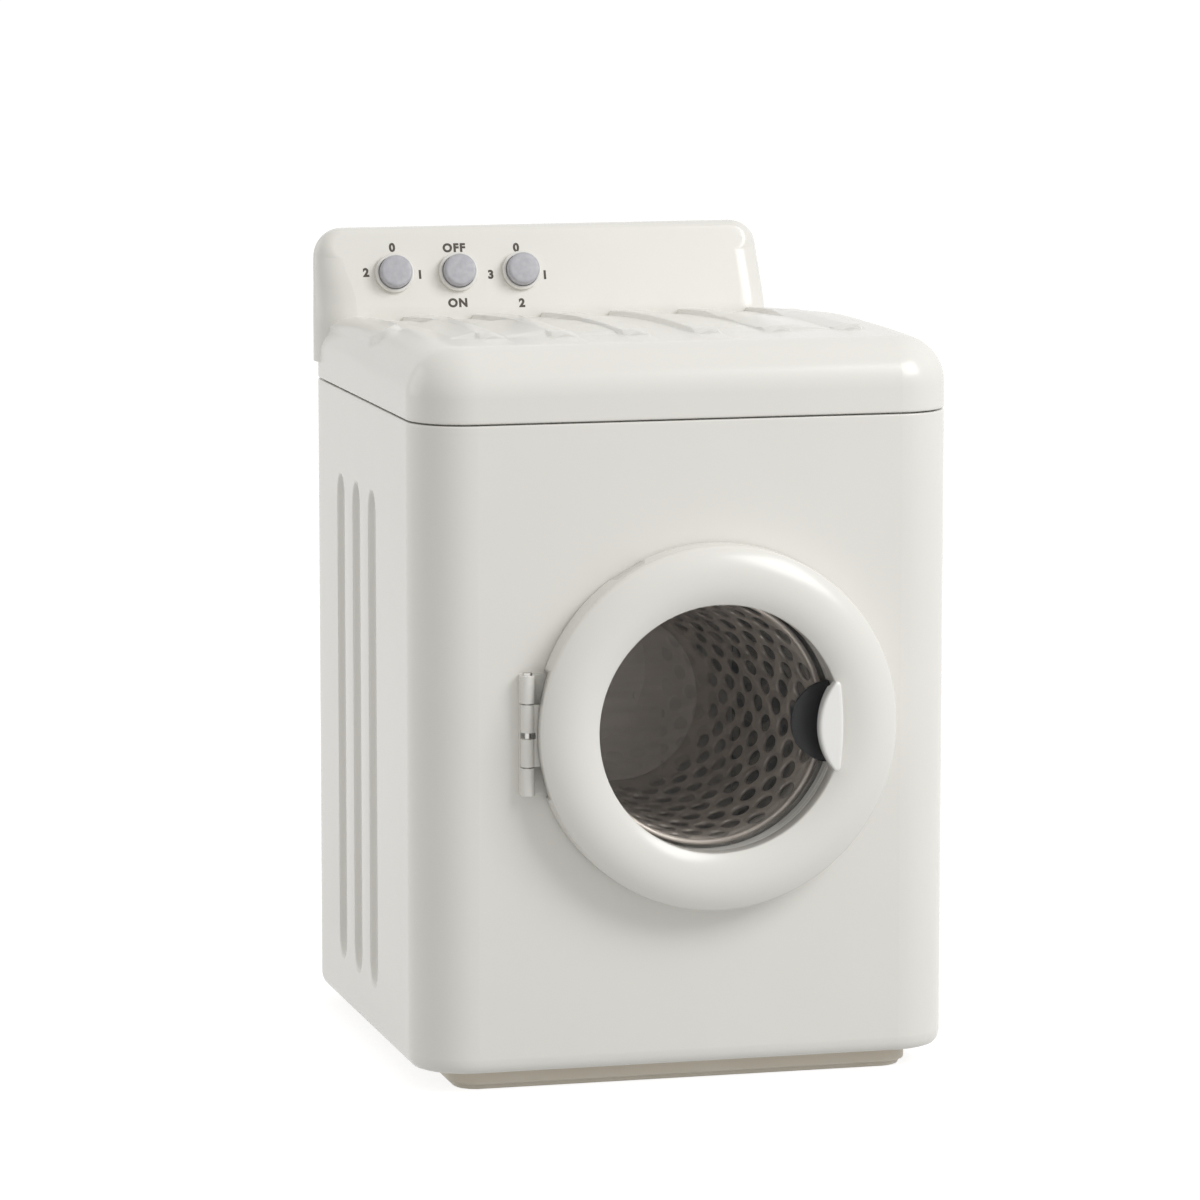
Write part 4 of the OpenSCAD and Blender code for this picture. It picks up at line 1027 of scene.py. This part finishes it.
def tile(name, pierced):
    """A six-sided tile of the sheet that meets its neighbours in the staggered rows."""
    far, high, low = HOLE_PITCH / 2, 0.65 * ROW_W, 0.35 * ROW_W
    corners = ((far, -low), (far, low), (0, high), (-far, low), (-far, -low), (0, -high))
    outline = []
    for corner, following in zip(corners, corners[1:] + corners[:1]):
        for k in range(TILE_STEPS):
            outline.append(Vector(corner).lerp(Vector(following), k / TILE_STEPS))
    mesh = bmesh.new()
    edge = [mesh.verts.new((*p, 0)) for p in outline]
    if pierced:
        turns = [atan2(p.y / high, p.x / far) for p in outline]
        half_w = HOLE_SHARE * ROW_W
        hole = [Vector((HOLE_HALF_LEN * cos(t), half_w * sin(t))) for t in turns]
        lip = [mesh.verts.new((*(p * RIM_SHARE), 0)) for p in hole]
        bore = [mesh.verts.new((*p, DIMPLE)) for p in hole]
        bridge(mesh, edge, lip)
        bridge(mesh, lip, bore)
    else:
        middle = mesh.verts.new((0, 0, 0))
        for vert, following in zip(edge, edge[1:] + edge[:1]):
            mesh.faces.new((vert, following, middle))
    return as_object(name, mesh)


def node_group(name, inputs):
    """A geometry node group with named inputs. Returns it with its inputs' sockets and
    three functions that build in it."""
    group = bpy.data.node_groups.new(name, "GeometryNodeTree")
    for label, kind in inputs:
        group.interface.new_socket(label, in_out="INPUT", socket_type="NodeSocket" + kind)
    group.interface.new_socket("Geometry", in_out="OUTPUT", socket_type="NodeSocketGeometry")
    given = group.nodes.new("NodeGroupInput").outputs

    def add(kind, *values, **named):
        """Adds a node, links or sets its inputs, and returns its outputs."""
        node = group.nodes.new(kind)
        for label, value in (*enumerate(values), *named.items()):
            if label in ("operation", "domain"):
                setattr(node, label, value)
                continue
            for source in value if isinstance(value, list) else [value]:
                if isinstance(source, bpy.types.NodeSocket):
                    group.links.new(source, node.inputs[label])
                else:
                    node.inputs[label].default_value = source
        return node.outputs

    def calc(operation, *values):
        """The result of a sum on values or sockets."""
        return add("ShaderNodeMath", *values, operation=operation)[0]

    def hand_out(geometry):
        """Sets the material and ends the group."""
        painted = add("GeometryNodeSetMaterial", Geometry=geometry, Material=given["Material"])
        add("NodeGroupOutput", Geometry=painted[0])

    return group, given, add, calc, hand_out


def grow(piece, group, values):
    """Runs a node group on a piece and keeps the result as its plain mesh."""
    maker = piece.modifiers.new("maker", "NODES")
    maker.node_group = group
    for item in group.interface.items_tree:
        if item.in_out == "INPUT" and item.name in values:
            maker[item.identifier] = values[item.name]
    settle(piece)


sheet_group, given, add, calc, hand_out = node_group("perforated_sheet", (
    ("Pierced Tile", "Object"), ("Blank Tile", "Object"), ("Rows", "Int"), ("Holes Along", "Int"),
    ("Pitch", "Float"), ("Margin", "Float"), ("Row Width", "Float"), ("Length", "Float"),
    ("Front Radius", "Float"), ("Back Radius", "Float"), ("Material", "Material"),
))
# The tiles lie on a flat sheet, row after row across it. Each row has a blank tile
# before its first hole and two behind its last.
index = add("GeometryNodeInputIndex")[0]
row = calc("MODULO", index, given["Rows"])
hole_at = calc("SUBTRACT", calc("FLOOR", calc("DIVIDE", index, given["Rows"])), 1)
half_step = calc("MULTIPLY", calc("MODULO", row, 2), 0.5)
along = calc("MULTIPLY", calc("ADD", hole_at, half_step), given["Pitch"])
along = calc("ADD", along, given["Margin"])
spot = add("ShaderNodeCombineXYZ", along, calc("MULTIPLY", row, given["Row Width"]))[0]
count = calc("MULTIPLY", calc("ADD", given["Holes Along"], 3), given["Rows"])
spots = add("GeometryNodePoints", Count=count, Position=spot)[0]
after_first = calc("GREATER_THAN", hole_at, -0.5)
before_last = calc("LESS_THAN", hole_at, calc("SUBTRACT", given["Holes Along"], 0.5))
is_hole = calc("MULTIPLY", after_first, before_last)
laid = []
for label, chosen in (("Pierced Tile", is_hole), ("Blank Tile", calc("SUBTRACT", 1, is_hole))):
    source = add("GeometryNodeObjectInfo", Object=given[label])["Geometry"]
    laid += add("GeometryNodeInstanceOnPoints", Points=spots, Selection=chosen, Instance=source)[:1]
joined = add("GeometryNodeJoinGeometry", Geometry=laid)[0]
real = add("GeometryNodeRealizeInstances", Geometry=joined)[0]
# The sheet is trimmed to its length, and what that leaves without area goes.
down, around, lift = add("ShaderNodeSeparateXYZ", add("GeometryNodeInputPosition")[0])
within = calc("MINIMUM", calc("MAXIMUM", down, 0), given["Length"])
flat = add("ShaderNodeCombineXYZ", within, around, lift)[0]
trimmed = add("GeometryNodeSetPosition", Geometry=real, Position=flat)[0]
empty = calc("LESS_THAN", add("GeometryNodeInputMeshFaceArea")[0], 1e-10)
kept = add("GeometryNodeDeleteGeometry", domain="FACE", Geometry=trimmed, Selection=empty)[0]
# Then it is wrapped on its cone, and the seam is closed.
turn = calc("DIVIDE", calc("DIVIDE", around, given["Row Width"]), given["Rows"])
turn = calc("MULTIPLY", turn, 2 * pi)
taper = calc("SUBTRACT", given["Back Radius"], given["Front Radius"])
reach = calc("MULTIPLY", taper, calc("DIVIDE", down, given["Length"]))
reach = calc("ADD", calc("ADD", reach, given["Front Radius"]), lift)
cone_x = calc("MULTIPLY", reach, calc("COSINE", turn))
cone_y = calc("MULTIPLY", reach, calc("SINE", turn))
on_cone = add("ShaderNodeCombineXYZ", cone_x, cone_y, down)[0]
wrapped = add("GeometryNodeSetPosition", Geometry=kept, Position=on_cone)[0]
hand_out(add("GeometryNodeMergeByDistance", Geometry=wrapped, Distance=0.01 * MM)[0])

drum_steel = finish(
    "drum_steel", 0.36, (0.62, 0.55, 0.49), (0.7, 0.63, 0.565), 120, 0.01, metallic=0.4
)
pierced_tile = tile("pierced_tile", True)
blank_tile = tile("blank_tile", False)
basket = as_object("drum_basket", bmesh.new())
grow(basket, sheet_group, {
    "Pierced Tile": pierced_tile, "Blank Tile": blank_tile, "Rows": HOLE_ROWS,
    "Holes Along": HOLES_ALONG, "Pitch": HOLE_PITCH, "Margin": HOLE_MARGIN, "Row Width": ROW_W,
    "Length": DRUM_LEN, "Front Radius": DRUM_FRONT_R - DRUM_T / 2,
    "Back Radius": DRUM_BACK_R - DRUM_T / 2, "Material": drum_steel,
})
for pattern in (pierced_tile, blank_tile):
    bpy.data.objects.remove(pattern)
thick = basket.modifiers.new("sheet", "SOLIDIFY")
thick.thickness = DRUM_T - SHEET_LESS
thick.offset = 0
settle(basket)
for face in basket.data.polygons:
    face.use_smooth = True
even_shading(basket)
basket.data.transform(drum_place)
dress(basket, drum_steel, "drum", "drum_steel", "drum_shell")
mouth_rim = lathe(
    "drum_rim", arc_points(DRUM_FRONT_R - DRUM_T / 2, 0, DRUM_T, 0, 2 * pi * 15 / 16, 15),
    drum_place, 128,
)
dress(mouth_rim, drum_steel, "drum", "drum_steel")

# ---- Screws that show ----
# Small plated screws with cross recesses: four in the back cover, two behind the
# console, four under the plinth and four in the glass retainer.
HEAD_HIGH = 0.6
CROSS_W = 0.28
CROSS_LEN = 1.9
CROSS_DEEP = 0.35

# A head and a shank stand on each point. The sizes above are for a screw of size 1.
screw_group, given, add, calc, hand_out = node_group("screws", (
    ("Points", "Geometry"), ("Head", "Object"), ("Size", "Float"), ("Shank", "Float"),
    ("Turn", "Rotation"), ("Material", "Material"),
))
head = add("GeometryNodeObjectInfo", Object=given["Head"])["Geometry"]
head = add("GeometryNodeTransform", Geometry=head, Scale=given["Size"])[0]
shank = add("GeometryNodeMeshCylinder", Vertices=24, Radius=given["Size"], Depth=given["Shank"])[0]
half_down = add("ShaderNodeCombineXYZ", Z=calc("MULTIPLY", given["Shank"], -0.5))[0]
shank = add("GeometryNodeTransform", Geometry=shank, Translation=half_down)[0]
whole = add("GeometryNodeJoinGeometry", Geometry=[head, shank])[0]
put = add(
    "GeometryNodeInstanceOnPoints", Points=given["Points"], Instance=whole, Rotation=given["Turn"]
)[0]
hand_out(add("GeometryNodeRealizeInstances", Geometry=put)[0])


def islands(node):
    """Boxes of the loose solids in a CAD node."""
    mesh = merged_copy(node)
    left, boxes = set(mesh.verts), []
    for start in list(mesh.verts):
        if start not in left:
            continue
        left.discard(start)
        queue, found = [start], []
        while queue:
            vert = queue.pop()
            found.append(vert.co.copy())
            for edge in vert.link_edges:
                other = edge.other_vert(vert)
                if other in left:
                    left.discard(other)
                    queue.append(other)
        low = Vector(min(co[k] for co in found) for k in range(3))
        high = Vector(max(co[k] for co in found) for k in range(3))
        boxes.append((low, high))
    mesh.free()
    return boxes


plated = finish(
    "plated_steel", 0.28, (0.55, 0.54, 0.52), (0.68, 0.67, 0.65), 600, 0.02, metallic=1
)
screw_head = lathe("screw_head", rounded((
    (0, HEAD_HIGH, 0), (1.5, HEAD_HIGH, 0.3), (2, 0.25, 0.15), (2, 0, 0), (0, 0, 0),
)), Matrix.Identity(4), 32)
cut_away(screw_head, [
    block("cross", (-wide / 2, -tall / 2, HEAD_HIGH - CROSS_DEEP), (wide / 2, tall / 2, 1))
    for wide, tall in ((CROSS_LEN, CROSS_W), (CROSS_W, CROSS_LEN))
])
for node, axis, sign, size in (
    ("back_cover_screws", 1, 1, 1), ("console_back_screws", 1, 1, 1), ("base_screws", 2, -1, 1),
    ("retainer_screws", 1, 1, 0.5),
):
    points = bmesh.new()
    head_high = HEAD_HIGH * size * MM
    for low, high in islands(node):
        head_low = (low + high) / 2
        head_low[axis] = (high[axis] if sign > 0 else low[axis]) - sign * head_high
        points.verts.new(head_low)
        shank_len = high[axis] - low[axis] - head_high
    heads = as_object(node + "_shown", points)
    facing = Vector((0, 0, 0))
    facing[axis] = sign
    grow(heads, screw_group, {
        "Head": screw_head, "Size": size * MM, "Shank": shank_len, "Material": plated,
        "Turn": facing.to_track_quat("Z", "Y").to_euler(),
    })
    dress(heads, plated, nodes[node]["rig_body"], "plated_steel", node)
bpy.data.objects.remove(screw_head)

# ---- Metal and dark pieces ----
# The pieces inside, and the pin in the hinge, are plain turned or pressed parts.
# They keep their CAD shape and get their metal, plastic or magnet finish.
brass = finish("brass", 0.35, (0.6, 0.4, 0.16), (0.75, 0.53, 0.25), 300, 0.03, metallic=1)
ferrite = finish("ferrite", 0.55, (0.02, 0.02, 0.022), (0.05, 0.05, 0.055), 1200, 0.05)
plate_steel = finish(
    "plate_steel", 0.4, (0.3, 0.262, 0.23), (0.52, 0.47, 0.425), 90, 0.02, metallic=0.4,
    stretch=(1, 1, 6),
)
for material, shown in (
    (plated, (
        "lid_screws", "console_screws", "knob_clip_left", "knob_clip_middle", "knob_clip_right",
        "handle_screws", "cabinet_leaf_screws", "door_leaf_screws", "hinge_pin", "strike_disc",
        "spindle_clip", "pedestal_screws", "drum_spindle",
    )),
    (plate_steel, ("drum_back_plate", "drum_rivets")),
    (brass, ("spindle_bush",)),
    (ferrite, ("catch_magnet",)),
    (beige, ("bearing_pedestal",)),
):
    for node in shown:
        nodes[node].data.materials.clear()
        nodes[node].data.materials.append(material)

# ---- Studio ----
# A pale floor and a backdrop that show as pure white, with the toy's soft shadow. A
# large soft key stands at the front right and above, and a weak fill behind at the left.
FLOOR_R = 10
LIGHT_AIM = Vector((0, 0, 75)) * MM


def seen_directly(tree):
    """1 on camera, glossy and transmission rays, and 0 on the rest."""
    path = tree.nodes.new("ShaderNodeLightPath")
    total = path.outputs["Is Camera Ray"]
    for label in ("Is Glossy Ray", "Is Transmission Ray"):
        plus = tree.nodes.new("ShaderNodeMath")
        plus.operation = "MAXIMUM"
        tree.links.new(total, plus.inputs[0])
        tree.links.new(path.outputs[label], plus.inputs[1])
        total = plus.outputs[0]
    return total


world = bpy.data.worlds.new("studio")
world.use_nodes = True
bpy.context.scene.world = world
air = world.node_tree
air_mix = air.nodes.new("ShaderNodeMix")
air_mix.data_type = "RGBA"
air_mix.inputs["A"].default_value = (0.58, 0.57, 0.545, 1)
air_mix.inputs["B"].default_value = (1, 1, 1, 1)
air.links.new(seen_directly(air), air_mix.inputs["Factor"])
air.links.new(air_mix.outputs["Result"], air.nodes["Background"].inputs["Color"])

floor_mesh = bmesh.new()
bmesh.ops.create_circle(floor_mesh, cap_ends=True, segments=64, radius=FLOOR_R)
floor = as_object("floor", floor_mesh)
paper = bpy.data.materials.new("paper")
paper.use_nodes = True
paper_tree = paper.node_tree
paper_shader = paper_tree.nodes["Principled BSDF"]
paper_shader.inputs["Base Color"].default_value = (0.45, 0.45, 0.45, 1)
paper_shader.inputs["Roughness"].default_value = 1
paper_shader.inputs["Specular IOR Level"].default_value = 0
paper_shader.inputs["Emission Color"].default_value = (1, 1, 1, 1)
paper_glow = paper_tree.nodes.new("ShaderNodeMix")
paper_glow.inputs["A"].default_value = 0.1
paper_glow.inputs["B"].default_value = 0.8
paper_tree.links.new(seen_directly(paper_tree), paper_glow.inputs["Factor"])
paper_tree.links.new(paper_glow.outputs["Result"], paper_shader.inputs["Emission Strength"])
floor.data.materials.append(paper)


def soft_light(name, spot, size, power):
    """A square area light that looks at the middle of the toy."""
    data = bpy.data.lights.new(name, "AREA")
    data.size = size
    data.energy = power
    lamp = add_to_scene(name, data)
    lamp.location = spot
    lamp.rotation_euler = (LIGHT_AIM - Vector(spot)).to_track_quat("-Z", "Y").to_euler()


soft_light("key", (0.5, -0.55, 0.6), 0.4, 3.7)
soft_light("fill", (-1.4, 0.9, 0.5), 1.2, 4.2)
